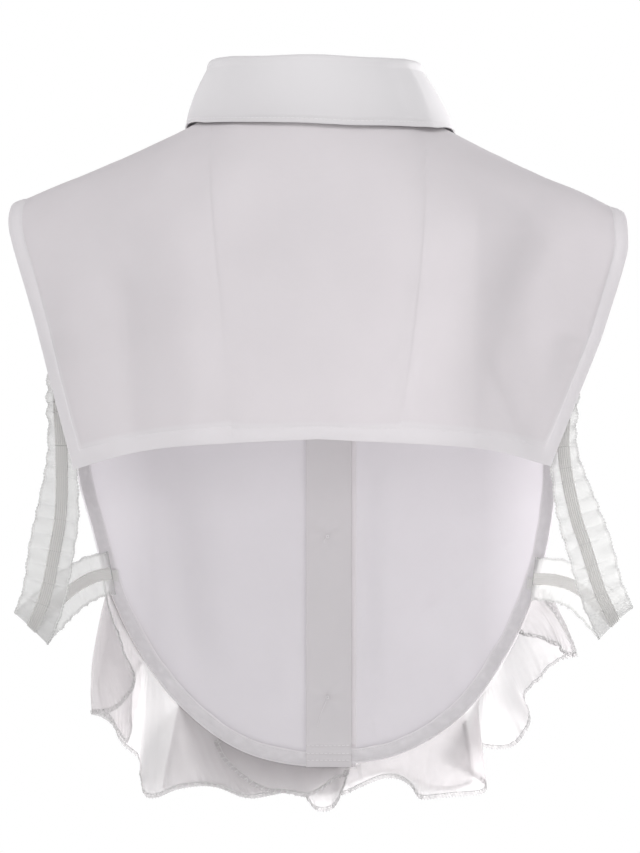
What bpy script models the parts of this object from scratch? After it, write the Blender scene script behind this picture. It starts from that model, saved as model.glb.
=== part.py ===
"""Detachable shirt collar with a button bib, a flounce and elastic side straps, in its worn shape.

+Z is up, the bib faces -Y and the wearer's left is +X. The origin is the middle of the neck opening.
Every size is in millimetres. finish_wall() alone turns them into metres.

All cloth is placed on one surface of a general figure, body(x, turn, out): x runs across the
shoulders, turn counts quarter turns away from the shoulder ridge, positive down the back and negative
down the front, and out moves a point off the surface.
"""

import math
from collections import namedtuple

import bmesh
import bpy
from mathutils import Vector

MM = 0.001
QUARTER = math.pi / 2

# Cloth thicknesses and the gaps that sewn pieces keep.
PANEL = 1.2
HEM = 2.2
BAND = 1.2
FINE = 1.0
STAND = 1.8
SEAM = 0.35
LAYER_GAP = 0.6

# The figure, at distances from its middle. Drops are the heights over which the cloth turns from the
# ridge to its full depth, and front_curve is 0.5 for a round shoulder and more for a straight chest. The
# cloth hangs a little lower on the right, by RIDGE_TILT of the distance from the middle.
Section = namedtuple("Section", "x ridge back_depth back_drop front_depth front_drop front_curve")
FIGURE = (
    Section(0, 60, 86, 100, 116, 262, 1.13),
    Section(34, 48, 91, 100, 114, 250, 0.90),
    Section(67, 33, 93, 98, 110, 235, 0.50),
    Section(114, 9.5, 81, 92, 98, 212, 0.50),
    Section(144, -3.5, 64, 86, 83, 198, 0.50),
    Section(170, -14.5, 51, 79, 66, 184, 0.50),
    Section(200, -28, 38, 66, 38, 160, 0.50),
)
HANG_TAPER = 0.02
RIDGE_TILT = 0.012

# Neck seam, shoulder seam and tips.
NECK_HALF_WIDTH = 67.0
NECK_BACK = 62.0
NECK_FRONT = 64.0
SEAM_FORWARD = 8.0
SHOULDER = 196.0

# Outer edge of the back panel, by the share of the way down from the shoulder seam.
Edge = namedtuple("Edge", "share left right")
BACK_EDGE = (
    Edge(0.00, 195, 195),
    Edge(0.15, 199.5, 199.5),
    Edge(0.30, 200.5, 200.5),
    Edge(0.42, 196, 199),
    Edge(0.65, 181, 184.5),
    Edge(0.80, 171, 170.5),
    Edge(1.00, 156.5, 149.5),
)
Hem = namedtuple("Hem", "x z")
BACK_HEM = (
    Hem(0, -178),
    Hem(50, -180.3),
    Hem(95, -183.3),
    Hem(120, -187),
    Hem(140, -192.5),
    Hem(158, -198),
)
HEM_WIDTH = 9.0

# Soft folds of the back panel, each a ridge or trough along a line on it.
Fold = namedtuple("Fold", "x1 z1 x2 z2 width height")
BACK_FOLDS = (
    Fold(52, -20, -34, -185, 26, 4.0),
    Fold(30, -35, 40, -185, 24, -3.5),
    Fold(120, -50, 104, -185, 22, -4.0),
    Fold(84, -60, 74, -185, 18, 2.0),
    Fold(-96, -60, -70, -185, 26, 3.0),
    Fold(-128, -70, -104, -185, 20, -4.5),
)

# Bib edge below the armholes: its reach from a centre, by the angle from straight down.
BIB_CENTRE = -199.0
Reach = namedtuple("Reach", "angle left right")
BIB_EDGE = (
    Reach(-10, 203, 201),
    Reach(0, 203, 201),
    Reach(15, 199, 202),
    Reach(30, 186.5, 194),
    Reach(45, 173, 179.5),
    Reach(60, 163, 168.5),
    Reach(75, 157.5, 162),
    Reach(90, 162, 160),
)
BIB_FOLDS = (
    Fold(110, -205, 98, -330, 20, -4.0),
    Fold(74, -200, 66, -350, 18, 2.5),
    Fold(-52, -185, -44, -340, 20, 3.5),
    Fold(-128, -235, -82, -295, 18, -3.0),
)
# They die away towards the edge, from a share of its reach, beside the button bands and up the chest.
BIB_FOLD_LIMIT = 0.9
BIB_FOLD_FADE = 0.25
BIB_FOLD_CLEAR = 20.0
BIB_FOLD_TURN = -0.55
BIB_FOLD_DROP = 0.4
BINDING_WIDTH = 10.0
BINDING_OUT = -PANEL - LAYER_GAP
TIP_GAP = 0.3

# Button bands, across the bib's middle. The buttonhole band is outside the button band.
UNDER_BAND = (-23.0, 8.2)
TOP_BAND = (-26.0, 4.4)
BAND_FOOT = -402.0
BUTTON_X = -6.5
BUTTON_HEIGHTS = (-136.0, -245.0, -354.5)
BUTTON_RADIUS = 5.5
BUTTON_DEPTH = 2.2
BUTTON_RIM = 1.2
BUTTON_SIDES = 20
STAND_BUTTON_X = -3.0

# Collar: stand height, fold and leaf. The leaf's rows place its free edge on the figure, from the nape
# round to the front point.
Stand = namedtuple("Stand", "degrees height")
STAND_HEIGHTS = (
    Stand(0, 32.0),
    Stand(90, 28.5),
    Stand(180, 27.0),
    Stand(200, 27.0),
)
STAND_TOP_SCALE = 0.94
STAND_TOP_SHIFT = 1.8
LEAF_SHIFT = -1.6
STAND_END = 192.0
STAND_LAP = 1.3
STAND_SEAM = 1.2
FALL_END = 175.0
FALL_WALL = 1.8
FALL_BOW = 2.0
LEAF_LIFT = 1.9
FoldStep = namedtuple("FoldStep", "share out up")
ROLL = (
    FoldStep(0.00, 0.0, 1.4),
    FoldStep(0.03, 0.3, 3.4),
    FoldStep(0.06, 2.0, 5.2),
    FoldStep(0.10, 4.6, 5.2),
    FoldStep(0.15, 6.5, 3.2),
    FoldStep(0.20, 7.4, -0.6),
)
Leaf = namedtuple("Leaf", "degrees x turn")
LEAF_EDGE = (
    Leaf(0, 0, 0.570),
    Leaf(30, 40, 0.447),
    Leaf(60, 71, 0.269),
    Leaf(75, 80.5, 0.140),
    Leaf(90, 86, 0.010),
    Leaf(105, 87.5, -0.110),
    Leaf(120, 85, -0.250),
    Leaf(150, 67, -0.465),
    Leaf(175, 38, -0.630),
)

# Flounce: where each rib leaves the bib's edge, and where it ends at the free edge. Rows run from the
# side of the bib to its middle, from one fold to the next.
Rib = namedtuple("Rib", "angle x y z")
Numbered = namedtuple("Numbered", "number angle x y z")
FLOUNCE_LEFT = (
    Rib(63.5, 152, -82, -299),
    Rib(60.8, 131, -73, -338),
    Rib(57.5, 135, -84, -362),
    Rib(54.2, 156, -99, -363),
    Rib(50.0, 145, -111, -369),
    Rib(45.8, 131, -113, -386),
    Rib(42.0, 121, -106, -405),
    Rib(38.5, 118, -96, -420),
    Rib(35.0, 109, -88, -421),
    Rib(32.0, 95, -90, -415),
    Rib(30.0, 86, -99, -414),
    Rib(28.5, 94, -110, -417),
    Rib(26.5, 104, -121, -418),
    Rib(23.5, 92, -129, -416),
    Rib(19.5, 73, -127, -416),
    Rib(15.5, 57, -118, -422),
    Rib(12.0, 46, -111, -424),
    Rib(8.5, 31, -113, -421),
    Rib(5.5, 19, -122, -420),
    Rib(2.5, 8, -128, -421),
    Rib(0.0, 1, -123, -428),
    Rib(-2.5, -9, -116, -430),
    Rib(-6.3, -21, -119, -421),
)
FLOUNCE_RIGHT = (
    Rib(60.0, 156, -90, -289),
    Rib(57.5, 165, -91, -302),
    Rib(55.0, 171, -91, -314),
    Rib(52.0, 175, -90, -325),
    Rib(49.0, 162, -102, -331),
    Rib(46.0, 151, -112, -342),
    Rib(43.0, 141, -109, -355),
    Rib(40.5, 144, -98, -370),
    Rib(38.5, 134, -90, -384),
    Rib(36.9, 122, -91, -387),
    Rib(35.3, 111, -96, -388),
    Rib(33.8, 103, -104, -396),
    Rib(31.6, 114, -123, -417),
    Rib(28.5, 104, -132, -424),
    Rib(25.0, 84, -128, -426),
    Rib(21.0, 67, -118, -427),
    Rib(17.5, 58, -109, -418),
    Rib(14.5, 50, -106, -411),
    Rib(11.0, 37, -111, -410),
    Rib(7.4, 26, -120, -414),
)
FLOUNCE_LAP = (
    Rib(20.5, 71, -107, -384),
    Rib(17.0, 65, -101, -395),
    Rib(13.0, 54, -97, -406),
    Rib(9.0, 38, -96, -416),
    Rib(5.5, 19, -98, -419),
    Rib(2.5, 7, -100, -421),
    Rib(-0.5, -3, -100, -416),
    Rib(-3.5, -12, -104, -410),
    Rib(-6.0, -21, -109, -407),
)
RIB_STEPS = 3
FLOUNCE_ROWS = 4
FLOUNCE_BELLY = 3.0
BELLY_START = 10.0
BELLY_FULL = 40.0
FLOUNCE_OUT = -PANEL / 2
LAP_OUT = FLOUNCE_OUT - FINE - SEAM

# Side straps: stations along the band from the back panel to the bib, with its place on each side. x is
# the distance from the middle, outer and inner are its reach to each side of the elastic, and across is
# the way from its outer to its inner edge. The ends lie on the cloth that they are sewn to.
Station = namedtuple(
    "Station", "step left_x left_y left_z right_x right_y right_z outer inner across_x across_y across_z"
)
STRAP = (
    Station(0, 163.4, 49.7, -112, 163.4, 49.8, -112, 8.0, 8.0, -0.90, 0.43, 0.00),
    Station(1, 166.5, 41.5, -148, 160.0, 42.5, -148, 8.0, 8.0, -0.96, 0.26, 0.00),
    Station(2, 165.5, 31.0, -185, 158.5, 31.0, -185, 9.0, 9.0, -0.99, 0.12, 0.02),
    Station(3, 166.5, 20.0, -224, 166.0, 20.0, -224, 15.5, 11.5, -1.00, 0.04, -0.04),
    Station(4, 171.0, 12.0, -250, 174.5, 12.0, -249.5, 17.0, 12.5, -0.98, 0.00, -0.18),
    Station(5, 177.0, 6.0, -278, 183.5, 6.0, -276.5, 15.5, 13.5, -0.94, 0.00, -0.34),
    Station(6, 184.0, 1.5, -296, 191.5, 1.5, -293, 15.0, 14.5, -0.84, 0.00, -0.54),
    Station(7, 187.5, -6.0, -302, 194.5, -6.0, -298.5, 14.5, 15.0, -0.72, 0.00, -0.69),
    Station(8, 184.0, -13.5, -298, 190.5, -13.5, -294.5, 14.5, 14.5, -0.60, 0.00, -0.80),
    Station(9, 174.0, -21.0, -288, 181.5, -21.0, -285, 14.5, 14.5, -0.42, 0.00, -0.91),
    Station(10, 163.0, -37.0, -278, 170.0, -36.0, -276, 14.5, 14.5, -0.32, 0.00, -0.95),
    Station(11, 151.0, -60.0, -271, 157.5, -57.0, -270.5, 14.5, 14.5, -0.29, -0.08, -0.95),
    Station(12, 138.8, -79.2, -268.5, 144.3, -76.0, -268.5, 14.0, 14.0, -0.27, -0.15, -0.95),
)
STRAP_BEND = 7
STRAP_FLAT = 4.6
FRILL_WAVES = 23
FRILL_HEIGHT = 1.7
FRILL_CALM = 16.0
ELASTIC_HALF_WIDTH = 3.6
ELASTIC_WALL = 1.4
ELASTIC_BEND_GAP = 0.4


def smooth(table, key):
    """Read a table at a value of its first column, on a smooth curve through its rows."""
    key = min(max(key, table[0][0]), table[-1][0])
    here = max(n for n in range(len(table) - 1) if table[n][0] <= key)
    first, last = table[here], table[here + 1]
    before = table[max(here - 1, 0)]
    after = table[min(here + 2, len(table) - 1)]
    step = last[0] - first[0]
    t = (key - first[0]) / step
    row = []
    for column in range(1, len(first)):
        start = step * (last[column] - before[column]) / (last[0] - before[0])
        end = step * (after[column] - first[column]) / (after[0] - first[0])
        row.append(
            first[column] * (2 * t**3 - 3 * t**2 + 1)
            + last[column] * (3 * t**2 - 2 * t**3)
            + start * (t**3 - 2 * t**2 + t)
            + end * (t**3 - t**2)
        )
    return type(first)(key, *row)


def ease(t):
    """Go from 0 to 1 with a soft start and end."""
    t = min(max(t, 0.0), 1.0)
    return t * t * (3 - 2 * t)


def mix(a, b, t):
    return a + (b - a) * t


# The figure's surface.


def body_point(x, turn):
    figure = smooth(FIGURE, abs(x))
    angle = min(abs(turn), 1.0) * QUARTER
    below = max(abs(turn) - 1.0, 0.0)
    if turn >= 0:
        depth, drop, curve, side = figure.back_depth, figure.back_drop, 0.5, 1
    else:
        depth, drop, curve, side = figure.front_depth, figure.front_drop, figure.front_curve, -1
    y = side * depth * math.sin(angle) ** (2 * curve) * (1 - HANG_TAPER * below)
    z = figure.ridge + RIDGE_TILT * x - drop * (1 - math.cos(angle)) - drop * QUARTER * below
    return Vector((x, y, z))


def body_normal(x, turn):
    dx, dt = 1.0, 0.02
    across = body_point(x + dx, turn) - body_point(x - dx, turn)
    along = body_point(x, turn + dt) - body_point(x, turn - dt)
    return across.cross(along).normalized()


def body(x, turn, out=0.0):
    return body_point(x, turn) + body_normal(x, turn) * out


def turn_at_depth(x, y):
    figure = smooth(FIGURE, abs(x))
    if y >= 0:
        return math.asin(min(y / figure.back_depth, 1)) / QUARTER
    return -math.asin(min(-y / figure.front_depth, 1) ** (0.5 / figure.front_curve)) / QUARTER


def turn_at_height(x, z, side):
    figure = smooth(FIGURE, abs(x))
    drop = figure.back_drop if side > 0 else figure.front_drop
    down = max(figure.ridge + RIDGE_TILT * x - z, 0.0) / drop
    if down < 1:
        return side * math.acos(1 - down) / QUARTER
    return side * (1 + (down - 1) / QUARTER)


def moved_in(x, turn, tangent, distance):
    """Go a distance over the surface, to the left of a tangent seen from outside."""
    dx, dt = 1.0, 0.02
    across = (body_point(x + dx, turn) - body_point(x - dx, turn)) / (2 * dx)
    along = (body_point(x, turn + dt) - body_point(x, turn - dt)) / (2 * dt)
    way = across.cross(along).normalized().cross(tangent).normalized() * distance
    aa, ab, bb = across.dot(across), across.dot(along), along.dot(along)
    wa, wb = way.dot(across), way.dot(along)
    spread = aa * bb - ab * ab
    return x + (wa * bb - wb * ab) / spread, turn + (wb * aa - wa * ab) / spread


def fold_height(folds, x, z):
    """Add up the soft folds at a place. They run out at the ends of their lines."""
    total = 0.0
    for fold in folds:
        run = Vector((fold.x2 - fold.x1, fold.z2 - fold.z1))
        away = Vector((x - fold.x1, z - fold.z1))
        share = away.dot(run) / run.length_squared
        aside = abs(away.x * run.y - away.y * run.x) / run.length
        ends = ease((share + 0.25) / 0.4) * ease((1.4 - share) / 0.4)
        total += fold.height * ends * math.exp(-((aside / fold.width) ** 2))
    return total


# Pieces are slabs of columns by rows, bent into place.


def material(name, colour, roughness, alpha=1.0):
    paint = bpy.data.materials.new(name)
    paint.use_nodes = True
    shader = paint.node_tree.nodes["Principled BSDF"]
    shader.inputs["Base Color"].default_value = (*colour, 1)
    shader.inputs["Roughness"].default_value = roughness
    shader.inputs["Metallic"].default_value = 0.0
    shader.inputs["Alpha"].default_value = alpha
    return paint


def finish_wall(name, mesh, paint):
    """Scale a piece to metres, face it outwards, shade it smooth and put it in the scene."""
    bmesh.ops.scale(mesh, vec=(MM, MM, MM), verts=mesh.verts)
    bmesh.ops.recalc_face_normals(mesh, faces=mesh.faces)
    data = bpy.data.meshes.new(name)
    mesh.to_mesh(data)
    mesh.free()
    data.materials.append(paint)
    data.shade_smooth()
    data.set_sharp_from_angle(angle=math.radians(50))
    piece = bpy.data.objects.new(name, data)
    bpy.context.collection.objects.link(piece)
    return piece


def wall(name, columns, rows, place, paint):
    """Make a closed wall. place(column, row, side) gives each corner, side 0 outside and 1 inside."""
    slab = bmesh.new()
    bmesh.ops.create_grid(slab, x_segments=columns, y_segments=rows, size=0.5)
    sheet = slab.verts[:] + slab.edges[:] + slab.faces[:]
    copy = bmesh.ops.extrude_face_region(slab, geom=sheet, use_keep_orig=True)
    for corner in copy["geom"]:
        if isinstance(corner, bmesh.types.BMVert):
            corner.co.z = 1
    for corner in slab.verts:
        column = round((corner.co.x + 0.5) * columns)
        row = round((corner.co.y + 0.5) * rows)
        corner.co = place(column, row, round(corner.co.z))
    return finish_wall(name, slab, paint)


# Neck and shoulder stations that the panels share.


def neck(degrees):
    """Place on the neck seam, 0 at the nape, 90 at the left side and 180 at the front."""
    angle = math.radians(degrees)
    x = NECK_HALF_WIDTH * math.sin(angle)
    y = (NECK_BACK if math.cos(angle) > 0 else NECK_FRONT) * math.cos(angle)
    return x, turn_at_depth(x, y)


def shoulder_seam(x):
    forward = mix(SEAM_FORWARD, SEAM_FORWARD + 4, (x - NECK_HALF_WIDTH) / (SHOULDER - NECK_HALF_WIDTH))
    return turn_at_depth(x, -forward)


NECK_STEPS = (0, 15, 30, 45, 60, 75, 90)
SHOULDER_STEPS = (84, 101, 118, 135, 152, 168, 180)


def back_top(x):
    """Turn of the back panel's top edge: the neck seam, then the shoulder seam."""
    if abs(x) < NECK_HALF_WIDTH - 0.01:
        return turn_at_depth(x, NECK_BACK * math.sqrt(1 - (x / NECK_HALF_WIDTH) ** 2))
    return shoulder_seam(abs(x))


def build_back_panel(paint):
    hem_start = SHOULDER - HEM_WIDTH
    across = [NECK_HALF_WIDTH * math.sin(math.radians(step)) for step in NECK_STEPS]
    across += [*SHOULDER_STEPS, hem_start, hem_start + 0.8, SHOULDER]
    across = [-x for x in reversed(across[1:])] + across
    down = (0, 0.05, 0.12, 0.2, 0.28, 0.37, 0.46, 0.55, 0.64, 0.73, 0.82, 0.9, 0.955, 0.959, 1)

    def place(column, row, side):
        share = down[row]
        top_x = across[column]
        edge = smooth(BACK_EDGE, share)
        wide = edge.left if top_x > 0 else edge.right
        x = top_x / SHOULDER * wide
        foot_x = top_x / SHOULDER * (BACK_EDGE[-1].left if top_x > 0 else BACK_EDGE[-1].right)
        hem = turn_at_height(foot_x, smooth(BACK_HEM, abs(foot_x)).z, 1)
        turn = mix(back_top(top_x), hem, share)
        fall = fold_height(BACK_FOLDS, x, body_point(x, turn).z) * ease(share / 0.3)
        hemmed = abs(top_x) > hem_start + 0.4 or share > 0.957
        return body(x, turn, fall - side * (HEM if hemmed else PANEL))

    wall("back_panel", len(across) - 1, len(down) - 1, place, paint)


# Bib: each front runs from the neck and shoulder seams to the U edge.


def bib_edge(angle, hand, inset=0.0):
    """x and turn on the U edge, at an angle from straight down. hand is 1 on the wearer's left."""
    reach = smooth(BIB_EDGE, angle)
    far = (reach.left if hand > 0 else reach.right) - inset
    x = hand * far * math.sin(math.radians(angle))
    z = BIB_CENTRE - far * math.cos(math.radians(angle))
    return x, turn_at_height(x, z, -1)


def angle_at_x(x, hand):
    """Angle at which the U edge crosses a place near the middle of the bib."""
    reach = BIB_EDGE[1].left if hand > 0 else BIB_EDGE[1].right
    return math.degrees(math.asin(hand * x / reach))


EDGE_STEPS = 14
DOWN_STEPS = 16
NECK_COLUMNS = 6
ARMHOLE_ROWS = 10
CORNER_ANGLE = 62.0


def front_top(column, start_x, hand):
    """x and turn of a front's top edge at a column: along the neck, then along the shoulder."""
    forward = SEAM_FORWARD + 2 * SEAM
    end = math.degrees(math.acos(forward / NECK_FRONT))
    start = math.degrees(math.asin(hand * start_x / NECK_HALF_WIDTH))
    if column <= NECK_COLUMNS:
        angle = math.radians(mix(start, end, column / NECK_COLUMNS))
        x = hand * NECK_HALF_WIDTH * math.sin(angle)
        return x, turn_at_depth(x, -NECK_FRONT * math.cos(angle))
    share = (column - NECK_COLUMNS) / (EDGE_STEPS - NECK_COLUMNS)
    x = mix(NECK_HALF_WIDTH * math.sin(math.radians(end)), SHOULDER - 1, share)
    return hand * x, shoulder_seam(x) - SEAM / smooth(FIGURE, x).front_depth


def front_side(row, start_x, hand):
    """x and turn of a front's outer edge at a row: down the armhole, then round the U."""
    if row > ARMHOLE_ROWS:
        return bib_edge(mix(90, CORNER_ANGLE, (row - ARMHOLE_ROWS) / (DOWN_STEPS - ARMHOLE_ROWS)), hand)
    top_x, top_turn = front_top(EDGE_STEPS, start_x, hand)
    foot_x, foot_turn = bib_edge(90, hand)
    share = row / ARMHOLE_ROWS
    return mix(top_x, foot_x, share), mix(top_turn, foot_turn, share)


def front_place(column, row, start_x, hand):
    """x and turn of a point on a front, blended from its four edges."""
    across, down = column / EDGE_STEPS, row / DOWN_STEPS
    top = Vector(front_top(column, start_x, hand))
    foot = Vector(bib_edge(mix(angle_at_x(start_x, hand), CORNER_ANGLE, across), hand))
    inner_top = Vector(front_top(0, start_x, hand))
    inner_foot = Vector(bib_edge(angle_at_x(start_x, hand), hand))
    outer_top = Vector(front_side(0, start_x, hand))
    outer_foot = Vector(bib_edge(CORNER_ANGLE, hand))
    inner = inner_top.lerp(inner_foot, down)
    outer = Vector(front_side(row, start_x, hand))
    corners = inner.lerp(outer_top.lerp(outer_foot, down), across)
    return tuple(top.lerp(foot, down) + inner.lerp(outer, across) - corners)


def bib_fall(x, turn):
    """Soft folds of the bib, which die away at its edge and at the button bands."""
    z = body_point(x, turn).z
    hand = 1 if x > 0 else -1
    angle = math.degrees(math.atan2(abs(x), max(BIB_CENTRE - z, 0)))
    reach = smooth(BIB_EDGE, angle)
    share = math.hypot(x, max(BIB_CENTRE - z, 0)) / (reach.left if hand > 0 else reach.right)
    at_edge = ease((BIB_FOLD_LIMIT - share) / BIB_FOLD_FADE)
    from_bands = max(TOP_BAND[0] - 1 - x, x - UNDER_BAND[1] - 2)
    at_chest = ease((BIB_FOLD_TURN - turn) / BIB_FOLD_DROP)
    return fold_height(BIB_FOLDS, x, z) * at_edge * ease(from_bands / BIB_FOLD_CLEAR) * at_chest


def build_front(name, start_x, hand, paint):
    def place(column, row, side):
        x, turn = front_place(column, row, start_x, hand)
        return body(x, turn, bib_fall(x, turn) - side * PANEL)

    wall(name, EDGE_STEPS, DOWN_STEPS, place, paint)


def build_button_band(name, span, out, paint):
    """Strip down the bib's middle, from the neck seam to the U edge."""
    columns, rows = 3, 24

    def place(column, row, side):
        x = mix(span[0], span[1], column / columns)
        top = turn_at_depth(x, -NECK_FRONT * math.sqrt(1 - (x / NECK_HALF_WIDTH) ** 2))
        turn = mix(top, turn_at_height(x, BAND_FOOT, -1), row / rows)
        return body(x, turn, out - side * BAND)

    wall(name, columns, rows, place, paint)


def build_binding(name, start_x, hand, paint):
    """Facing band on the inside of a front's outer edge, from the shoulder seam to the button band."""
    side_stations = [(EDGE_STEPS, row) for row in range(DOWN_STEPS)]
    foot_stations = [(column, DOWN_STEPS) for column in range(EDGE_STEPS, -1, -1)]
    edge = [front_place(column, row, start_x, hand) for column, row in side_stations + foot_stations]
    points = [body_point(*spot) for spot in edge]

    def place(column, row, side):
        tangent = points[min(column + 1, len(points) - 1)] - points[max(column - 1, 0)]
        x, turn = edge[column]
        if 0 < row:
            x, turn = moved_in(x, turn, tangent, -hand * BINDING_WIDTH)
        if column == len(edge) - 1:
            x = start_x
        at_tip = ease(1 - column / 5)
        return body(x, turn, bib_fall(x, turn) + BINDING_OUT - TIP_GAP * at_tip - side * BAND)

    wall(name, len(edge) - 1, 1, place, paint)


# Collar.


def stand_top(degrees):
    """Point at the top of the stand's middle layer, over the neck seam."""
    foot = body_point(*neck(degrees))
    height = smooth(STAND_HEIGHTS, abs(degrees)).height
    return Vector((foot.x * STAND_TOP_SCALE + STAND_TOP_SHIFT, foot.y, foot.z + height))


def outward(degrees):
    """Level direction away from the neck."""
    angle = math.radians(degrees)
    depth = NECK_BACK if math.cos(angle) > 0 else NECK_FRONT
    return Vector((math.sin(angle) / NECK_HALF_WIDTH, math.cos(angle) / depth, 0)).normalized()


def build_stand(paint):
    columns, rows = 40, 2

    def place(column, row, side):
        degrees = mix(-STAND_END, STAND_END, column / columns)
        lap = STAND_LAP * (ease((-degrees - 140) / 40) - ease((degrees - 140) / 40))
        foot = body_point(*neck(degrees)) + Vector((0, 0, STAND_SEAM))
        point = foot.lerp(stand_top(degrees), row / rows)
        return point + outward(degrees) * (lap + STAND * (0.5 - side))

    wall("collar_stand", columns, rows, place, paint)


def leaf_edge(degrees):
    leaf = smooth(LEAF_EDGE, abs(degrees))
    return body(math.copysign(leaf.x, degrees) + LEAF_SHIFT, leaf.turn, LEAF_LIFT)


def fall_middle(degrees, share):
    """Point on the middle layer of the fall, from inside the fold to the leaf's free edge."""
    top = stand_top(degrees)
    step = smooth(ROLL, share)
    point = top + outward(degrees) * step.out + Vector((0, 0, step.up))
    last = ROLL[-1]
    if share <= last.share:
        return point
    t = (share - last.share) / (1 - last.share)
    bow = outward(degrees) * FALL_BOW * 4 * t * (1 - t)
    return point.lerp(leaf_edge(degrees), t) + bow


def build_fall(paint):
    columns = 36
    down = [step.share for step in ROLL] + [0.4, 0.6, 0.8, 1.0]

    def place(column, row, side):
        degrees = mix(-FALL_END, FALL_END, column / columns)
        share = down[row]
        ahead = fall_middle(degrees, min(share + 0.01, 1))
        behind = fall_middle(degrees, max(share - 0.01, 0))
        left = fall_middle(min(degrees + 1, FALL_END), share)
        right = fall_middle(max(degrees - 1, -FALL_END), share)
        beside = left - right
        normal = beside.cross(ahead - behind).normalized()
        return fall_middle(degrees, share) + normal * FALL_WALL * (0.5 - side)

    wall("collar_fall", columns, len(down) - 1, place, paint)


# Flounce.


def build_flounce(name, ribs, hand, out, paint):
    """Cloth that hangs from the bib's edge in folds, with a straight rib from seam to free edge."""
    table = [Numbered(number, *rib) for number, rib in enumerate(ribs)]
    last = len(ribs) - 1

    def middle(along, share):
        rib = smooth(table, along)
        x, turn = bib_edge(rib.angle, hand, -2 * SEAM)
        under_bands = TOP_BAND[0] - 1 < x < UNDER_BAND[1] + 1
        if under_bands:
            turn = min(turn, turn_at_height(x, BAND_FOOT - 2 * SEAM, -1))
        seam = body(x, turn, out)
        free = Vector((hand * rib.x, rib.y, rib.z))
        at_side = ease((rib.angle - BELLY_START) / (BELLY_FULL - BELLY_START))
        belly = hand * FLOUNCE_BELLY * at_side * 4 * share * (1 - share)
        return seam.lerp(free, share) + Vector((belly, 0, 0))

    def place(column, row, side):
        along = column / RIB_STEPS
        share = row / FLOUNCE_ROWS
        beside = middle(min(along + 0.1, last), share) - middle(max(along - 0.1, 0), share)
        hanging = middle(along, min(share + 0.05, 1)) - middle(along, max(share - 0.05, 0))
        normal = beside.cross(hanging).normalized() * -hand
        return middle(along, share) + normal * FINE * (0.5 - side)

    wall(name, last * RIB_STEPS, FLOUNCE_ROWS, place, paint)


# Side straps.


def strap_point(step, hand):
    station = smooth(STRAP, step)
    if hand > 0:
        return Vector((station.left_x, station.left_y, station.left_z))
    return Vector((-station.right_x, station.right_y, station.right_z))


def strap_steps(columns, hand):
    """Steps along the stations at even lengths along the strap, with the length at each."""
    fine = 400
    steps = [STRAP[-1].step * n / fine for n in range(fine + 1)]
    lengths = [0.0]
    for n in range(fine):
        lengths.append(lengths[-1] + (strap_point(steps[n + 1], hand) - strap_point(steps[n], hand)).length)
    even = []
    for column in range(columns + 1):
        wanted = lengths[-1] * column / columns
        n = min(next((n for n in range(fine) if lengths[n + 1] >= wanted), fine - 1), fine - 1)
        share = (wanted - lengths[n]) / (lengths[n + 1] - lengths[n])
        even.append((mix(steps[n], steps[n + 1], share), wanted))
    return even


def strap_frame(step, hand):
    """Middle, width direction and outer face's normal of a strap at a step."""
    station = smooth(STRAP, step)
    along = (strap_point(step + 0.05, hand) - strap_point(step - 0.05, hand)).normalized()
    across = Vector((hand * station.across_x, station.across_y, station.across_z))
    across = (across - along * across.dot(along)).normalized()
    return strap_point(step, hand), across, along.cross(across) * hand


def build_strap(hand, side_name, sheer, elastic_paint):
    columns = FRILL_WAVES * 4
    band_steps = strap_steps(columns, hand)
    total = band_steps[-1][1]
    bend = min(band_steps, key=lambda spot: abs(spot[0] - STRAP_BEND))[1]
    last_row = 3

    def place_band(column, row, side):
        step, length = band_steps[column]
        middle, across, normal = strap_frame(step, hand)
        station = smooth(STRAP, step)
        reaches = (-station.outer, -STRAP_FLAT, STRAP_FLAT, station.inner)
        calm = ease((abs(length - bend) - FRILL_CALM / 2) / FRILL_CALM)
        ends = ease(length / FRILL_CALM) * ease((total - length) / FRILL_CALM)
        frill = FRILL_HEIGHT * math.sin(column * QUARTER) * calm * ends
        lift = frill if row in (0, last_row) else 0
        return middle + across * reaches[row] + normal * (lift + FINE * (0.5 - side))

    def place_elastic(column, row, side):
        step, length = band_steps[column]
        middle, across, normal = strap_frame(step, hand)
        at_bend = ease(1 - abs(length - bend) / FRILL_CALM)
        out = FINE / 2 + SEAM + ELASTIC_BEND_GAP * at_bend + ELASTIC_WALL * (1 - side)
        return middle + across * ELASTIC_HALF_WIDTH * (2 * row - 1) + normal * out

    wall(f"strap_band_{side_name}", columns, last_row, place_band, sheer)
    wall(f"elastic_{side_name}", columns, 1, place_elastic, elastic_paint)


# Buttons.


def build_button(name, seat, normal, paint):
    """Flat button with a raised rim, facing along a normal."""
    button = bmesh.new()
    bmesh.ops.create_cone(
        button,
        cap_ends=True,
        segments=BUTTON_SIDES,
        radius1=BUTTON_RADIUS,
        radius2=BUTTON_RADIUS,
        depth=BUTTON_DEPTH,
    )
    front = max(button.faces, key=lambda face: face.calc_center_median().z)
    bmesh.ops.inset_region(button, faces=[front], thickness=BUTTON_RIM)
    bmesh.ops.translate(button, vec=(0, 0, -BUTTON_DEPTH / 3), verts=front.verts)
    bmesh.ops.translate(button, vec=(0, 0, BUTTON_DEPTH / 2), verts=button.verts)
    turn = Vector((0, 0, 1)).rotation_difference(normal).to_matrix()
    for corner in button.verts:
        corner.co = turn @ corner.co + seat
    finish_wall(name, button, paint)


def build_buttons(paint):
    degrees = 180 - math.degrees(math.asin(STAND_BUTTON_X / NECK_HALF_WIDTH))
    wrapped = degrees - 360
    lift = STAND_LAP + STAND / 2 + SEAM
    middle = body_point(*neck(wrapped)).lerp(stand_top(wrapped), 0.5)
    build_button("button_0", middle + outward(wrapped) * lift, outward(wrapped), paint)
    for number, height in enumerate(BUTTON_HEIGHTS, 1):
        turn = turn_at_height(BUTTON_X, height, -1)
        seat = body(BUTTON_X, turn, LAYER_GAP)
        build_button(f"button_{number}", seat, body_normal(BUTTON_X, turn), paint)


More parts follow.
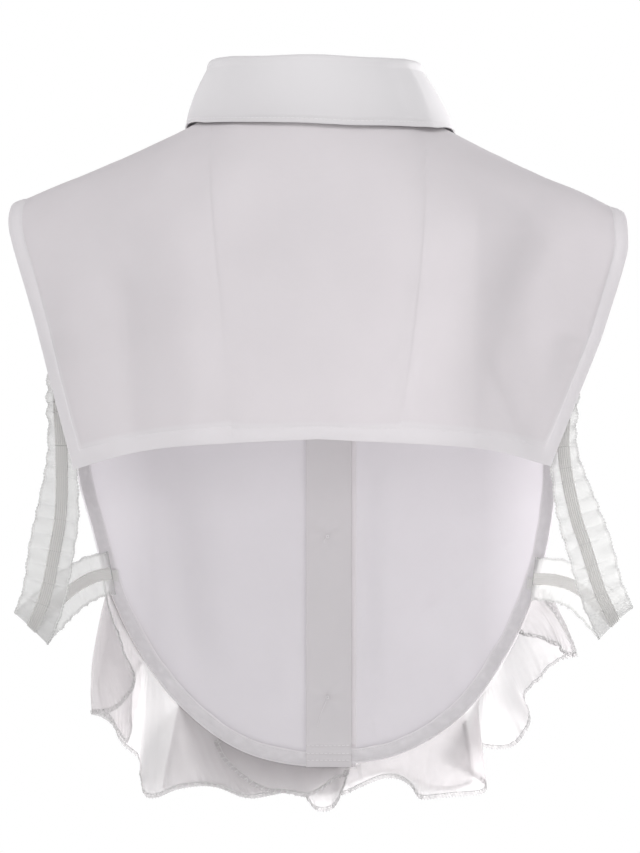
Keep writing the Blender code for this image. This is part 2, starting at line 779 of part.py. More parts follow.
def build():
    for old in list(bpy.data.objects):
        bpy.data.objects.remove(old, do_unlink=True)
    cotton = material("cotton", (0.68, 0.67, 0.69), 0.85)
    facing = material("facing", (0.58, 0.58, 0.59), 0.85)
    sheer = material("sheer", (0.72, 0.72, 0.70), 0.7, 0.6)
    elastic_paint = material("elastic", (0.5, 0.5, 0.49), 0.7)
    pearl = material("button", (0.8, 0.8, 0.78), 0.3)

    build_back_panel(cotton)
    build_front("front_left", TOP_BAND[1] + SEAM, 1, cotton)
    build_front("front_right", TOP_BAND[0] - SEAM, -1, cotton)
    build_button_band("placket_top", TOP_BAND, 0.0, cotton)
    build_button_band("placket_under", UNDER_BAND, -PANEL - LAYER_GAP, facing)
    build_binding("binding_left", UNDER_BAND[1] + SEAM, 1, facing)
    build_binding("binding_right", UNDER_BAND[0] - SEAM, -1, facing)
    build_stand(cotton)
    build_fall(cotton)
    build_flounce("ruffle_left", FLOUNCE_LEFT, 1, FLOUNCE_OUT, sheer)
    build_flounce("ruffle_right", FLOUNCE_RIGHT, -1, FLOUNCE_OUT, sheer)
    build_flounce("ruffle_lap", FLOUNCE_LAP, 1, LAP_OUT, sheer)
    build_strap(1, "left", sheer, elastic_paint)
    build_strap(-1, "right", sheer, elastic_paint)
    build_buttons(pearl)


build()
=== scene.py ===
"""Looks of a detachable shirt collar with a button bib, a sheer flounce and elastic side straps.

The cloth lies on one surface of a general figure, body(x, turn): x runs across the shoulders and turn
counts quarter turns away from the shoulder ridge, positive down the back and negative down the front.
Every size is in millimetres until finish_mesh() turns it into metres. Flat sizes, finishes, lamps and
the camera are in metres.
"""

import math
from bisect import bisect_left
from collections import namedtuple
from functools import cache
from itertools import accumulate

import bmesh
import bpy
from mathutils import Matrix, Vector, noise


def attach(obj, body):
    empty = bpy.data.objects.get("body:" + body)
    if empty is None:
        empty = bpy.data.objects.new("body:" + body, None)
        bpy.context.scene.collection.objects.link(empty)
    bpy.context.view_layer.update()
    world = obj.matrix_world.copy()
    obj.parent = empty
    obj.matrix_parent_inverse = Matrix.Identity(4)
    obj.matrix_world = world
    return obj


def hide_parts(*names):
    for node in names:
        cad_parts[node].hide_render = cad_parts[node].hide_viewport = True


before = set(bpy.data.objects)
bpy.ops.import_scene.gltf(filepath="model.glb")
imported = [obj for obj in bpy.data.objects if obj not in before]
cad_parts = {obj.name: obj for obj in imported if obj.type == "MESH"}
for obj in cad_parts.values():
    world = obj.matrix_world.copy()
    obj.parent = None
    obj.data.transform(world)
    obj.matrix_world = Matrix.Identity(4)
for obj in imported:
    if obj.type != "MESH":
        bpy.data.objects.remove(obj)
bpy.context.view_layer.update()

MM = 0.001
QUARTER = math.pi / 2

# Cloth thicknesses and the depths at which layers lie under the figure's surface.
CLOTH = 0.5
SHEER = 0.3
BAND = 0.9
COLLAR = 1.5
BAND_PROUD = 0.35
FACING_DEPTH = 1.3
BINDING_DEPTH = 1.0

# The figure, at distances from its middle. The first row mirrors the third, so that the middle is level.
Section = namedtuple("Section", "x ridge back_depth back_drop front_depth front_drop front_curve")
FIGURE = (
    Section(-34, 48, 91, 100, 114, 250, 0.90),
    Section(0, 60, 86, 100, 116, 262, 1.13),
    Section(34, 48, 91, 100, 114, 250, 0.90),
    Section(67, 33, 93, 98, 110, 235, 0.50),
    Section(114, 9.5, 81, 92, 98, 212, 0.50),
    Section(144, -3.5, 64, 86, 83, 198, 0.50),
    Section(170, -14.5, 51, 79, 66, 184, 0.50),
    Section(200, -28, 38, 66, 38, 160, 0.50),
)
FIGURE_SOFTNESS = 10.0
HANG_TAPER = 0.02
RIDGE_TILT = 0.012

NECK_HALF_WIDTH = 67.0
NECK_BACK = 62.0
NECK_FRONT = 64.0
SEAM_FORWARD = 8.0
SHOULDER = 196.0

Edge = namedtuple("Edge", "share left right")
BACK_EDGE = (
    Edge(0.00, 195, 195),
    Edge(0.15, 199.5, 199.5),
    Edge(0.30, 200.5, 200.5),
    Edge(0.42, 196, 199),
    Edge(0.65, 181, 184.5),
    Edge(0.80, 171, 170.5),
    Edge(1.00, 156.5, 149.5),
)
Hem = namedtuple("Hem", "x z")
BACK_HEM = (
    Hem(0, -178),
    Hem(50, -180.3),
    Hem(95, -183.3),
    Hem(120, -187),
    Hem(140, -192.5),
    Hem(158, -198),
)
BACK_LENGTH = 214.0
BACK_FOLD_TURN = 0.1
BACK_FOLD_DROP = 0.7
BACK_SUNK = 0.2
HEM_WIDTH = 9.0
HEM_STITCH = 8.0
HEM_PLIES = 2.6
HEM_PUFF = 0.3
HEM_DIP = 0.35
HEM_ROLL = 0.35
HEM_PUCKER = 0.13
SIDE_HEM = SHOULDER - HEM_WIDTH * 1.05
SHOULDER_STITCH = 0.008

# A fold runs along the line from x1, z1 to x2, z2. It starts FOLD_LEAD before the line and ends
# FOLD_TRAIL past it, in shares of its length. The solids have the folds too, but not the creases.
Fold = namedtuple("Fold", "x1 z1 x2 z2 width height")
FOLD_LEAD = 0.25
FOLD_TRAIL = 0.4
FOLD_FADE = 0.4
BACK_FOLDS = (
    Fold(52, -20, -34, -185, 26, 4.0),
    Fold(30, -35, 40, -185, 24, -3.5),
    Fold(120, -50, 104, -185, 22, -4.0),
    Fold(84, -60, 74, -185, 18, 2.0),
    Fold(-96, -60, -70, -185, 26, 3.0),
    Fold(-128, -70, -104, -185, 20, -4.5),
)
BACK_CREASES = (
    Fold(-104, -126, -131, -182, 4, 1.1),
    Fold(-112, -122, -140, -176, 8, -1.0),
    Fold(-98, -45, -96, -180, 20, 3.2),
    Fold(-99, -45, -98, -180, 4, 0.7),
    Fold(-146, -45, -138, -165, 20, -3.4),
    Fold(129, -80, 122, -170, 12, -3.4),
    Fold(160, -80, 151, -160, 12, 2.2),
    Fold(-128, -60, -106, -190, 20, 1.2),
    Fold(-150, -70, -146, -160, 14, 1.8),
    Fold(20, -50, -18, -120, 8, 0.6),
    Fold(-62, -60, -36, -140, 9, 0.7),
    Fold(96, -10, 132, -44, 8, 0.5),
    Fold(-84, -4, -140, -36, 8, -0.5),
)

BIB_CENTRE = -199.0
Reach = namedtuple("Reach", "angle left right")
BIB_EDGE = (
    Reach(-10, 203, 201),
    Reach(0, 203, 201),
    Reach(15, 199, 202),
    Reach(30, 186.5, 194),
    Reach(45, 173, 179.5),
    Reach(60, 163, 168.5),
    Reach(75, 157.5, 162),
    Reach(90, 162, 160),
)
BIB_FOLDS = (
    Fold(110, -205, 98, -330, 20, -4.0),
    Fold(74, -200, 66, -350, 18, 2.5),
    Fold(-52, -185, -44, -340, 20, 3.5),
    Fold(-128, -235, -82, -295, 18, -3.0),
)
BIB_CREASES = (
    Fold(-134, -244, -80, -292, 4, -0.9),
    Fold(-36, -196, -54, -158, 6, 0.9),
    Fold(-60, -150, -34, -220, 6, -0.6),
    Fold(-92, -300, -96, -360, 7, 0.8),
    Fold(98, -180, 92, -300, 8, -0.7),
    Fold(40, -120, 58, -60, 8, 0.6),
    Fold(-44, -116, -66, -58, 8, 0.6),
)
BIB_FOLD_LIMIT = 0.9
BIB_FOLD_FADE = 0.25
BIB_FOLD_CLEAR = 20.0
BIB_FOLD_TURN = -0.55
BIB_FOLD_DROP = 0.4
BIB_CREASE_LIMIT = 0.98
BIB_CREASE_FADE = 0.1
BIB_CREASE_CLEAR = 8.0
BINDING_WIDTH = 10.0
BINDING_WANDER = 0.7
BINDING_RISE = 0.22
BINDING_PLIES = 1.4
BINDING_RIM_PLIES = 0.8
BINDING_RIM = 0.07
BINDING_PUCKER = 0.45
EDGE_STITCHES = (1.4, BINDING_WIDTH - 1.3)

# The button bands, from their right to their left side.
Span = namedtuple("Span", "right left")
UNDER_BAND = Span(-23.0, 8.2)
TOP_BAND = Span(-26.0, 4.4)
BAND_FOOT = -402.0
BAND_LENGTH = 405.0
BAND_FOOT_ROWS = (0.962, 0.976, 0.988)
BAND_FOOT_DENT = 0.3
TOP_BAND_STITCHES = (-22.5, 1.0)
BUTTON_X = -6.5
BUTTON_HEIGHTS = (-136.0, -245.0, -354.5)
STAND_BUTTON_X = -3.0
# Button threads pull the band into PULL_SPOKES small creases round a dent.
PULL_SPOKES = 5
PULL_CREASE = 0.3
PULL_DENT = 0.45

# The collar, by degrees round the neck: 0 is the nape, 90 the left side and 180 the front.
Stand = namedtuple("Stand", "degrees height")
STAND_HEIGHTS = (
    Stand(-90, 28.5),
    Stand(0, 32.0),
    Stand(90, 28.5),
    Stand(180, 27.0),
    Stand(200, 27.0),
)
STAND_TOP_SCALE = 0.94
STAND_TOP_SHIFT = 1.8
LEAF_SHIFT = -1.6
STAND_END = 192.0
STAND_LAP = 1.3
STAND_LAP_FROM = 140.0
STAND_LAP_EASE = 40.0
STAND_TUCK = 0.8
STAND_RIM = 0.9
STAND_BULGE = 0.2
STAND_STITCHES = (0.1, 0.92)
FALL_END = 175.0
FALL_BOW = 2.0
LEAF_LIFT = 1.9
LEAF_LENGTH = 46.0
FoldStep = namedtuple("FoldStep", "share out up")
ROLL = (
    FoldStep(0.00, 0.0, 1.4),
    FoldStep(0.03, 0.3, 3.4),
    FoldStep(0.06, 2.0, 5.2),
    FoldStep(0.10, 4.6, 5.2),
    FoldStep(0.15, 6.5, 3.2),
    FoldStep(0.20, 7.4, -0.6),
)
Leaf = namedtuple("Leaf", "degrees x turn")
LEAF_EDGE = (
    Leaf(-30, -40, 0.447),
    Leaf(0, 0, 0.570),
    Leaf(30, 40, 0.447),
    Leaf(60, 71, 0.269),
    Leaf(75, 80.5, 0.140),
    Leaf(90, 86, 0.010),
    Leaf(105, 87.5, -0.110),
    Leaf(120, 85, -0.250),
    Leaf(150, 67, -0.465),
    Leaf(175, 38, -0.630),
)

Crease = namedtuple("Crease", "degrees width height")
FALL_CREASES = (
    Crease(-58, 4.0, 0.9),
    Crease(-47, 5.0, -0.6),
    Crease(52, 6.0, 0.6),
    Crease(112, 7.0, -0.5),
    Crease(-118, 8.0, 0.5),
)
TOPSTITCH = 2.8
TOPSTITCH_DIP = 0.28
FALL_RIM = 1.0

# A rib of a flounce runs from the bib's edge, at an angle from straight down, to x, y, z on its hem.
Rib = namedtuple("Rib", "angle x y z belly")
Numbered = namedtuple("Numbered", "number angle x y z belly")
FLOUNCE_LEFT = (
    Rib(64.5, 134, -68, -308, 2),
    Rib(63.9, 129, -69, -324, 2),
    Rib(63.2, 123, -71, -338, 2),
    Rib(62.4, 125, -74, -348, 3),
    Rib(61.5, 135, -81, -360, 4),
    Rib(60.5, 146, -90, -364, 5),
    Rib(59.3, 153, -100, -365, 5),
    Rib(56.5, 147, -109, -368, 4),
    Rib(53, 140, -114, -374, 3),
    Rib(49.5, 134, -115, -386, 2),
    Rib(46, 127, -113, -392, 1),
    Rib(43, 121, -108, -398, 1),
    Rib(41.3, 120, -100, -411, 1),
    Rib(40, 117, -95, -420, 1),
    Rib(37, 109, -93, -421, 0),
    Rib(33.5, 96, -96, -416, 0),
    Rib(30, 80, -102, -414, 0),
    Rib(26.5, 67, -108, -416, 0),
    Rib(23, 53, -111, -422, 0),
    Rib(20, 43, -110, -423, 0),
    Rib(16.5, 33, -107, -421, 0),
    Rib(12.5, 22, -107, -419, 0),
    Rib(8.5, 12, -110, -419, 0),
    Rib(5.5, 7, -113, -424, 0),
    Rib(3, 3, -113, -430, 0),
    Rib(0.5, -3, -110, -432, 0),
    Rib(-2, -10, -108, -430, 0),
    Rib(-4.3, -15, -112, -423, 0),
    Rib(-6.3, -18, -116, -413, 0),
)
FLOUNCE_UNDER = (
    Rib(30.6, 107, -121, -418, 0),
    Rib(29.6, 100, -126, -418, 0),
    Rib(27, 84, -129, -415, 0),
    Rib(23.5, 67, -127, -416, 0),
    Rib(20, 50, -123, -421, 0),
    Rib(16, 34, -122, -421, 0),
    Rib(12, 20, -124, -419, 0),
    Rib(8, 9, -127, -419, 0),
    Rib(4, 0, -128, -422, 0),
    Rib(0, -8, -127, -422, 0),
    Rib(-4, -15, -126, -418, 0),
)
FLOUNCE_LEFT_TURN = (
    Rib(60.5, 143, -96, -292, 0),
    Rib(58.5, 149, -100, -335, 0),
    Rib(56, 147, -105, -362, 0),
    Rib(53, 141, -109, -370, 0),
    Rib(50, 135, -110, -380, 0),
    Rib(47.5, 129.5, -109, -385, 0),
    Rib(45, 125, -108, -366, 0),
    Rib(42.5, 120.5, -106, -347, 0),
)
FLOUNCE_RIGHT_UNDER = (
    Rib(31, 108, -103, -412, 0),
    Rib(28, 95, -109, -417, 0),
    Rib(25, 80, -115, -418, 0),
    Rib(20, 66, -115, -412, 0),
    Rib(15, 53, -116, -406, 0),
    Rib(10, 38, -122, -408, 0),
    Rib(5, 21, -128, -415, 0),
    Rib(0, 10, -129, -416, 0),
)
FLOUNCE_RIGHT = (
    Rib(62, 156, -86, -289, 5),
    Rib(60.7, 165, -90, -302, 5),
    Rib(59.4, 171, -93, -314, 5),
    Rib(58, 175, -97, -325, 4),
    Rib(55.5, 167, -106, -328, 4),
    Rib(53, 157, -112, -335, 1),
    Rib(50.5, 152, -115, -342, 0),
    Rib(47.8, 144, -116, -349, 0),
    Rib(45, 141, -114, -357, 0),
    Rib(42.5, 145, -110, -369, 0),
    Rib(40.5, 138, -110, -383, 0),
    Rib(39, 130, -114, -389, 0),
    Rib(37.8, 120, -120, -390, 0),
    Rib(36.8, 111, -124, -389, 0),
    Rib(36, 101, -122, -392, 0),
    Rib(35.5, 98, -114, -399, 0),
    Rib(35.1, 103, -104, -405, 0),
    Rib(34.7, 112, -97, -411, 0),
    Rib(34.2, 114, -94, -415, 0),
    Rib(32.5, 110, -97, -419, 0),
    Rib(28.5, 94, -104, -421, 0),
    Rib(24, 78, -108, -423, 0),
    Rib(21, 69, -108, -423, 0),
    Rib(18, 63, -107, -415, 0),
    Rib(15, 55, -109, -410, 0),
    Rib(11.5, 44, -114, -410, 0),
    Rib(7.8, 30, -119, -416, 0),
    Rib(4.5, 20, -123, -421, 0),
    Rib(2, 15, -125, -422, 0),
)
FLOUNCE_FLAP = (
    Rib(62, 175, -88, -325, 4),
    Rib(60.5, 169, -84, -325, 4),
    Rib(59, 164, -80, -322, 3),
    Rib(57.5, 162, -77, -318, 3),
    Rib(56, 156, -75, -316, 2),
    Rib(54.3, 150, -74, -313, 1),
    Rib(52.5, 142, -75, -311, 0),
    Rib(51, 136, -78, -310, 0),
)
FLOUNCE_LAP = (
    Rib(20.5, 71, -105, -384, 0),
    Rib(17.0, 65, -101, -395, 0),
    Rib(13.0, 54, -97, -406, 0),
    Rib(9.0, 38, -96, -416, 0),
    Rib(5.5, 19, -98, -419, 0),
    Rib(2.5, 7, -100, -421, 0),
    Rib(-0.5, -3, -100, -416, 0),
    Rib(-3.5, -12, -104, -410, 0),
    Rib(-6.0, -21, -109, -407, 0),
)
FLOUNCE_TUCK = 2.0
LAP_TUCK = -0.4
FLOUNCE_PROUD = 0.6
FLOUNCE_GATHER = 0.1
FLOUNCE_FLUTTER = 0.5
FLOUNCE_RIPPLE = 0.4
FLOUNCE_SEWN = 0.1

Station = namedtuple(
    "Station", "step left_x left_y left_z right_x right_y right_z outer inner across_x across_y across_z"
)
STRAP = (
    Station(0, 163.4, 49.7, -112, 163.4, 49.8, -112, 8.0, 8.0, -0.90, 0.43, 0.00),
    Station(1, 166.5, 41.5, -148, 160.0, 42.5, -148, 8.0, 8.0, -0.96, 0.26, 0.00),
    Station(2, 165.5, 31.0, -185, 158.5, 31.0, -185, 9.0, 9.0, -0.99, 0.12, 0.02),
    Station(3, 166.5, 20.0, -224, 166.0, 20.0, -224, 15.5, 11.5, -1.00, 0.04, -0.04),
    Station(4, 171.0, 12.0, -250, 174.5, 12.0, -249.5, 17.0, 12.5, -0.98, 0.00, -0.18),
    Station(5, 177.0, 6.0, -278, 183.5, 6.0, -276.5, 15.5, 13.5, -0.94, 0.00, -0.34),
    Station(6, 184.0, 1.5, -296, 191.5, 1.5, -293, 15.0, 14.5, -0.84, 0.00, -0.54),
    Station(7, 187.5, -6.0, -302, 194.5, -6.0, -298.5, 14.5, 15.0, -0.72, 0.00, -0.69),
    Station(8, 184.0, -13.5, -298, 190.5, -13.5, -294.5, 14.5, 14.5, -0.60, 0.00, -0.80),
    Station(9, 174.0, -21.0, -288, 181.5, -21.0, -285, 14.5, 14.5, -0.42, 0.00, -0.91),
    Station(10, 163.0, -37.0, -278, 170.0, -36.0, -276, 14.5, 14.5, -0.32, 0.00, -0.95),
    Station(11, 151.0, -60.0, -271, 157.5, -57.0, -272.5, 14.5, 14.5, -0.29, -0.08, -0.95),
    Station(12, 138.8, -79.2, -268.5, 144.3, -76.0, -272.5, 14.0, 14.0, -0.27, -0.15, -0.95),
)
STRAP_BEND = 7
STRAP_FLAT = 4.6
STRAP_FLAT_SHARE = 0.35
STRAP_FINE_STEPS = 400
FRILL_WAVES = 23
FRILL_HEIGHT = 0.8
FRILL_WANDER = 2.2
FRILL_CALM = 16.0
FRILL_CROWD = 1.1
FRILL_CROWD_AT = 42.0
PLEAT_HEIGHT = 0.5
PLEAT_SHARE = 1.7
EDGE_SCALLOP = 0.35
EDGE_TEETH = 0.8
EDGE_PITCH = 2.7
ELASTIC_HALF_WIDTH = 3.9
ELASTIC_RIBS = 6
ELASTIC_EDGE = 0.4
ELASTIC_SWELL = 0.25
ELASTIC_RIB = 0.15
Anchor = namedtuple("Anchor", "x z")
ANCHORS = {1: Anchor(140.5, -270.5), -1: Anchor(-146.5, -275.5)}
ANCHOR_HALF_LENGTH = 4.6
ANCHOR_DEPTH = 1.9
ANCHOR_THICK = 0.8
ANCHOR_SUNK = 0.25
ANCHOR_STITCH = 0.8


def smooth(table, key):
    """Read a table at a value of its first column, on a smooth curve through its rows."""
    key = min(max(key, table[0][0]), table[-1][0])
    here = max(n for n in range(len(table) - 1) if table[n][0] <= key)
    first, last = table[here], table[here + 1]
    before = table[max(here - 1, 0)]
    after = table[min(here + 2, len(table) - 1)]
    step = last[0] - first[0]
    t = (key - first[0]) / step
    row = []
    for column in range(1, len(first)):
        start = step * (last[column] - before[column]) / (last[0] - before[0])
        end = step * (after[column] - first[column]) / (after[0] - first[0])
        row.append(
            first[column] * (2 * t**3 - 3 * t**2 + 1)
            + last[column] * (3 * t**2 - 2 * t**3)
            + start * (t**3 - 2 * t**2 + t)
            + end * (t**3 - t**2)
        )
    return type(first)(key, *row)


def ease(t):
    """Go from 0 to 1 with a soft start and end."""
    t = min(max(t, 0.0), 1.0)
    return t * t * (3 - 2 * t)


def arch(t):
    """Go from 0 up to 1 and back to 0, in a parabola."""
    return 4 * t * (1 - t)


def mix(a, b, t):
    return a + (b - a) * t


def hump(distance, width):
    """1 at a line and falling softly to 0 on both sides of it."""
    return math.exp(-((distance / width) ** 2))


def spread(low, high, pitch, *extra):
    """Even values from low to high, with extra ones put in their places."""
    count = max(round((high - low) / pitch), 1)
    values = [low + (high - low) * n / count for n in range(count + 1)]
    far = [value for value in values[1:-1] if all(abs(value - other) > pitch * 0.4 for other in extra)]
    return sorted([low, high, *far, *extra])


def on_side(row, x):
    """The left or the right value of a row, by the side on which x lies."""
    return row.left if x > 0 else row.right


# The figure's surface.


@cache
def figure_at(x):
    """Sizes of the figure at a distance from its middle, evened out over a short way."""
    before, here, after = (smooth(FIGURE, abs(x + step)) for step in (-FIGURE_SOFTNESS, 0, FIGURE_SOFTNESS))
    return Section(*((a + 2 * b + c) / 4 for a, b, c in zip(before, here, after)))


def body_point(x, turn):
    figure = figure_at(abs(x))
    angle = min(abs(turn), 1.0) * QUARTER
    below = max(abs(turn) - 1.0, 0.0)
    if turn >= 0:
        depth, drop, curve, side = figure.back_depth, figure.back_drop, 0.5, 1
    else:
        depth, drop, curve, side = figure.front_depth, figure.front_drop, figure.front_curve, -1
    y = side * depth * math.sin(angle) ** (2 * curve) * (1 - HANG_TAPER * below)
    z = figure.ridge + RIDGE_TILT * x - drop * (1 - math.cos(angle)) - drop * QUARTER * below
    return Vector((x, y, z))


def slopes(x, turn):
    """How far a point of the surface moves with x and with turn."""
    dx, dt = 1.0, 0.02
    across = (body_point(x + dx, turn) - body_point(x - dx, turn)) / (2 * dx)
    along = (body_point(x, turn + dt) - body_point(x, turn - dt)) / (2 * dt)
    return across, along


def body_normal(x, turn):
    across, along = slopes(x, turn)
    return across.cross(along).normalized()


def surface(x, turn):
    """Point of the figure's surface and the normal there."""
    return body_point(x, turn), body_normal(x, turn)


def body(x, turn, out):
    point, normal = surface(x, turn)
    return point + normal * out


def turn_at_depth(x, y):
    figure = figure_at(abs(x))
    if y >= 0:
        return math.asin(min(y / figure.back_depth, 1)) / QUARTER
    return -math.asin(min(-y / figure.front_depth, 1) ** (0.5 / figure.front_curve)) / QUARTER


def turn_at_height(x, z, side):
    figure = figure_at(abs(x))
    drop = figure.back_drop if side > 0 else figure.front_drop
    down = max(figure.ridge + RIDGE_TILT * x - z, 0.0) / drop
    if down < 1:
        return side * math.acos(1 - down) / QUARTER
    return side * (1 + (down - 1) / QUARTER)


def moved_in(x, turn, tangent, distance):
    """Go a distance over the surface, to the left of a tangent seen from outside."""
    across, along = slopes(x, turn)
    way = across.cross(along).normalized().cross(tangent).normalized() * distance
    aa, ab, bb = across.dot(across), across.dot(along), along.dot(along)
    wa, wb = way.dot(across), way.dot(along)
    area = aa * bb - ab * ab
    return x + (wa * bb - wb * ab) / area, turn + (wb * aa - wa * ab) / area


def fold_height(folds, x, z):
    """Add up the soft folds at a place. They run out at the ends of their lines."""
    total = 0.0
    for fold in folds:
        run = Vector((fold.x2 - fold.x1, fold.z2 - fold.z1))
        away = Vector((x - fold.x1, z - fold.z1))
        share = away.dot(run) / run.length_squared
        aside = abs(away.x * run.y - away.y * run.x) / run.length
        ends = ease((share + FOLD_LEAD) / FOLD_FADE) * ease((1 + FOLD_TRAIL - share) / FOLD_FADE)
        total += fold.height * ends * hump(aside, fold.width)
    return total


def rumple(point, size, height):
    """Slight unevenness of worn cloth, in waves of a size and a height."""
    return noise.noise(point / size) * height


# Finishes. A Tone wraps a shader socket, so that sums can be written on it.

PRINCIPLED = "ShaderNodeBsdfPrincipled"


class Tone:
    def __init__(self, finish, socket):
        self.finish = finish
        self.socket = socket

    def sum(self, operation, first, second):
        return self.finish.node("ShaderNodeMath", {"operation": operation}, {0: first, 1: second})

    def __add__(self, other):
        return self.sum("ADD", self, other)

    def __radd__(self, other):
        return self.sum("ADD", other, self)

    def __sub__(self, other):
        return self.sum("SUBTRACT", self, other)

    def __rsub__(self, other):
        return self.sum("SUBTRACT", other, self)

    def __mul__(self, other):
        return self.sum("MULTIPLY", self, other)

    def __rmul__(self, other):
        return self.sum("MULTIPLY", other, self)

    def at_most(self, other):
        return self.sum("MINIMUM", self, other)

    def at_least(self, other):
        return self.sum("MAXIMUM", self, other)


class Finish:
    """The shader nodes of a material, or of the world."""

    def __init__(self, owner):
        self.owner = owner
        self.owner.use_nodes = True
        self.tree = self.owner.node_tree
        self.tree.nodes.clear()

    def node(self, kind, settings=None, sockets=None, output=0):
        made = self.tree.nodes.new(kind)
        for key, value in (settings or {}).items():
            setattr(made, key, value)
        for key, value in (sockets or {}).items():
            if isinstance(value, Tone):
                self.tree.links.new(value.socket, made.inputs[key])
            else:
                made.inputs[key].default_value = value
        return Tone(self, made.outputs[output])

    def place(self):
        return self.node("ShaderNodeTexCoord", output="Object")

    def cloth_map(self):
        return self.node("ShaderNodeUVMap", {"uv_map": "cloth"})

    def attribute(self, name):
        return self.node("ShaderNodeAttribute", {"attribute_name": name}, output="Fac")

    def parts(self, vector):
        split = self.node("ShaderNodeSeparateXYZ", sockets={0: vector})
        outputs = split.socket.node.outputs
        return tuple(Tone(self, outputs[n]) for n in range(3))

    def scaled(self, vector, *shares):
        sockets = {0: vector, 1: shares}
        return self.node("ShaderNodeVectorMath", {"operation": "MULTIPLY"}, sockets)

    def noise(self, vector, scale, detail=2.0, roughness=0.5):
        sockets = {"Vector": vector, "Scale": scale, "Detail": detail, "Roughness": roughness}
        return self.node("ShaderNodeTexNoise", sockets=sockets)

    def wave(self, value, turns):
        """Go from 0 to 1 and back, turns times for each unit of a value."""
        angle = value * (turns * 2 * math.pi)
        return self.node("ShaderNodeMath", {"operation": "SINE"}, {0: angle}) * 0.5 + 0.5

    def blend(self, factor, first, second):
        settings = {"data_type": "RGBA"}
        mixed = self.node("ShaderNodeMix", settings, {"Factor": factor, 6: first, 7: second})
        return Tone(self, mixed.socket.node.outputs[2])

    def bump(self, height, distance, strength=1.0, under=None):
        sockets = {"Height": height, "Distance": distance, "Strength": strength}
        if under is not None:
            sockets["Normal"] = under
        return self.node("ShaderNodeBump", sockets=sockets)

    def mixed(self, share, first, second):
        return self.node("ShaderNodeMixShader", sockets={0: share, 1: first, 2: second})

    def lit_cloth(self, colour, glow, normal, through, roughness, specular=0.25, sheen=0.0):
        """Cloth that lets a share of the light through, and glows in a colour of its own."""
        sockets = {"Base Color": colour, "Roughness": roughness, "Normal": normal}
        sockets |= {"Specular IOR Level": specular, "Sheen Weight": sheen}
        face = self.node(PRINCIPLED, sockets=sockets)
        back = self.node("ShaderNodeBsdfTranslucent", sockets={"Color": glow, "Normal": normal})
        return self.mixed(through, face, back)

    def show(self, shader, kind="ShaderNodeOutputMaterial"):
        """Link a shader to the output, and give back what the nodes belong to."""
        self.tree.links.new(shader.socket, self.tree.nodes.new(kind).inputs["Surface"])
        return self.owner


COTTON_TINT = (1.020, 0.978, 1.000)
FRONT_TINT = (1.010, 0.980, 1.010)
HEM_TINT = (1.012, 0.985, 1.003)
VOILE_TINT = (1.015, 0.985, 0.995)
STRAP_TINT = (1.006, 1.002, 0.992)
ELASTIC_TINT = (1.012, 1.002, 0.986)
PEARL_DARK = (0.74, 0.74, 0.72, 1.0)
PEARL_LIGHT = (0.86, 0.86, 0.85, 1.0)
CLEAR = (1.0, 1.0, 1.0, 1.0)

# Threads in a metre of cotton and of voile, and the elastic's cross threads.
THREADS = 1900.0
VOILE_THREADS = 1330.0
PICKS = 900.0

# Painted light: the inner face of the bib is painted paler toward its side edges, in place of light that
# comes through the cloth there, starting at the first distance below off the middle.
PAINTED_LIGHT_START = 0.112
PAINTED_LIGHT_RISE = 105.0

# Cloth looks doubled from 1.3 layers on.
DOUBLED_FROM = 1.3
DOUBLED_RISE = 1.2


def white(level, tint):
    """A near-white of a lightness and tint, in linear light."""
    return (*(level * share for share in tint), 1.0)


def cloth_finish(
    name, light, dark, through, blotch=0.0, crumple=0.35, tint=COTTON_TINT, hem_tint=HEM_TINT, painted_light_flank=None
):
    """Plain-woven cotton, from dark to light in soft clouds, which lets a share of the light through.

    Doubled cloth takes the hem's tint, and the last argument is the lightness painted on the sides of its
    inner face, a painted light.
    """
    finish = Finish(bpy.data.materials.new(name))
    chart = finish.cloth_map()
    along, across, _ = finish.parts(chart)
    weave = finish.wave(along, THREADS) * finish.wave(across, THREADS)
    place = finish.place()
    clouds = finish.noise(place, scale=24.0, detail=3.0)
    slubs = finish.noise(finish.scaled(chart, 90.0, 1500.0, 0.0), scale=1.0)
    blotches = finish.noise(place, scale=170.0, detail=3.0, roughness=0.65)
    tone = clouds * (0.65 - blotch / 2) + slubs * 0.35 + blotches * (blotch / 2)
    colour = finish.blend(tone, white(dark, tint), white(light, tint))
    # Painted light: the inner face grows paler toward the sides, standing in for light on the bib's inner
    # flanks.
    if painted_light_flank:
        side, _, _ = finish.parts(place)
        painted_light_share = ((side * side - PAINTED_LIGHT_START**2) * PAINTED_LIGHT_RISE).at_least(0.0).at_most(1.0)
        colour = finish.blend(painted_light_share * finish.attribute("reverse"), colour, white(painted_light_flank, tint))
    doubled = (finish.attribute("plies") - DOUBLED_FROM) * DOUBLED_RISE
    colour = finish.blend(doubled.at_least(0.0).at_most(1.0), colour, white(light, hem_tint))
    rough_cloth = finish.noise(place, scale=65.0, detail=4.0, roughness=0.55)
    crumpled = finish.bump(rough_cloth, distance=0.0006, strength=crumple)
    normal = finish.bump(weave, distance=0.00006, strength=0.5, under=crumpled)
    glow = white(light, tint)
    return finish.show(finish.lit_cloth(colour, glow, normal, through, roughness=0.86, sheen=0.12))


def sheer_finish(name, level, open_share, tint, through=0.5):
    """Thin voile: part of the light passes straight through between its threads."""
    finish = Finish(bpy.data.materials.new(name))
    along, across, _ = finish.parts(finish.cloth_map())
    weave = finish.wave(along, VOILE_THREADS) * finish.wave(across, VOILE_THREADS)
    place = finish.place()
    clouds = finish.noise(place, scale=45.0, detail=3.0)
    colour = finish.blend(clouds, white(level * 0.95, tint), white(level, tint))
    rough_cloth = finish.noise(place, scale=110.0, detail=4.0, roughness=0.6)
    crumpled = finish.bump(rough_cloth, distance=0.0007, strength=0.45)
    normal = finish.bump(weave, distance=0.00005, strength=0.4, under=crumpled)
    cloth = finish.lit_cloth(colour, white(level, tint), normal, through, roughness=0.75)
    clear = finish.node("ShaderNodeBsdfTransparent", sockets={"Color": CLEAR})
    holes = open_share + (weave - 0.25) * 0.2 + (clouds - 0.5) * 0.1
    return finish.show(finish.mixed(holes, cloth, clear))


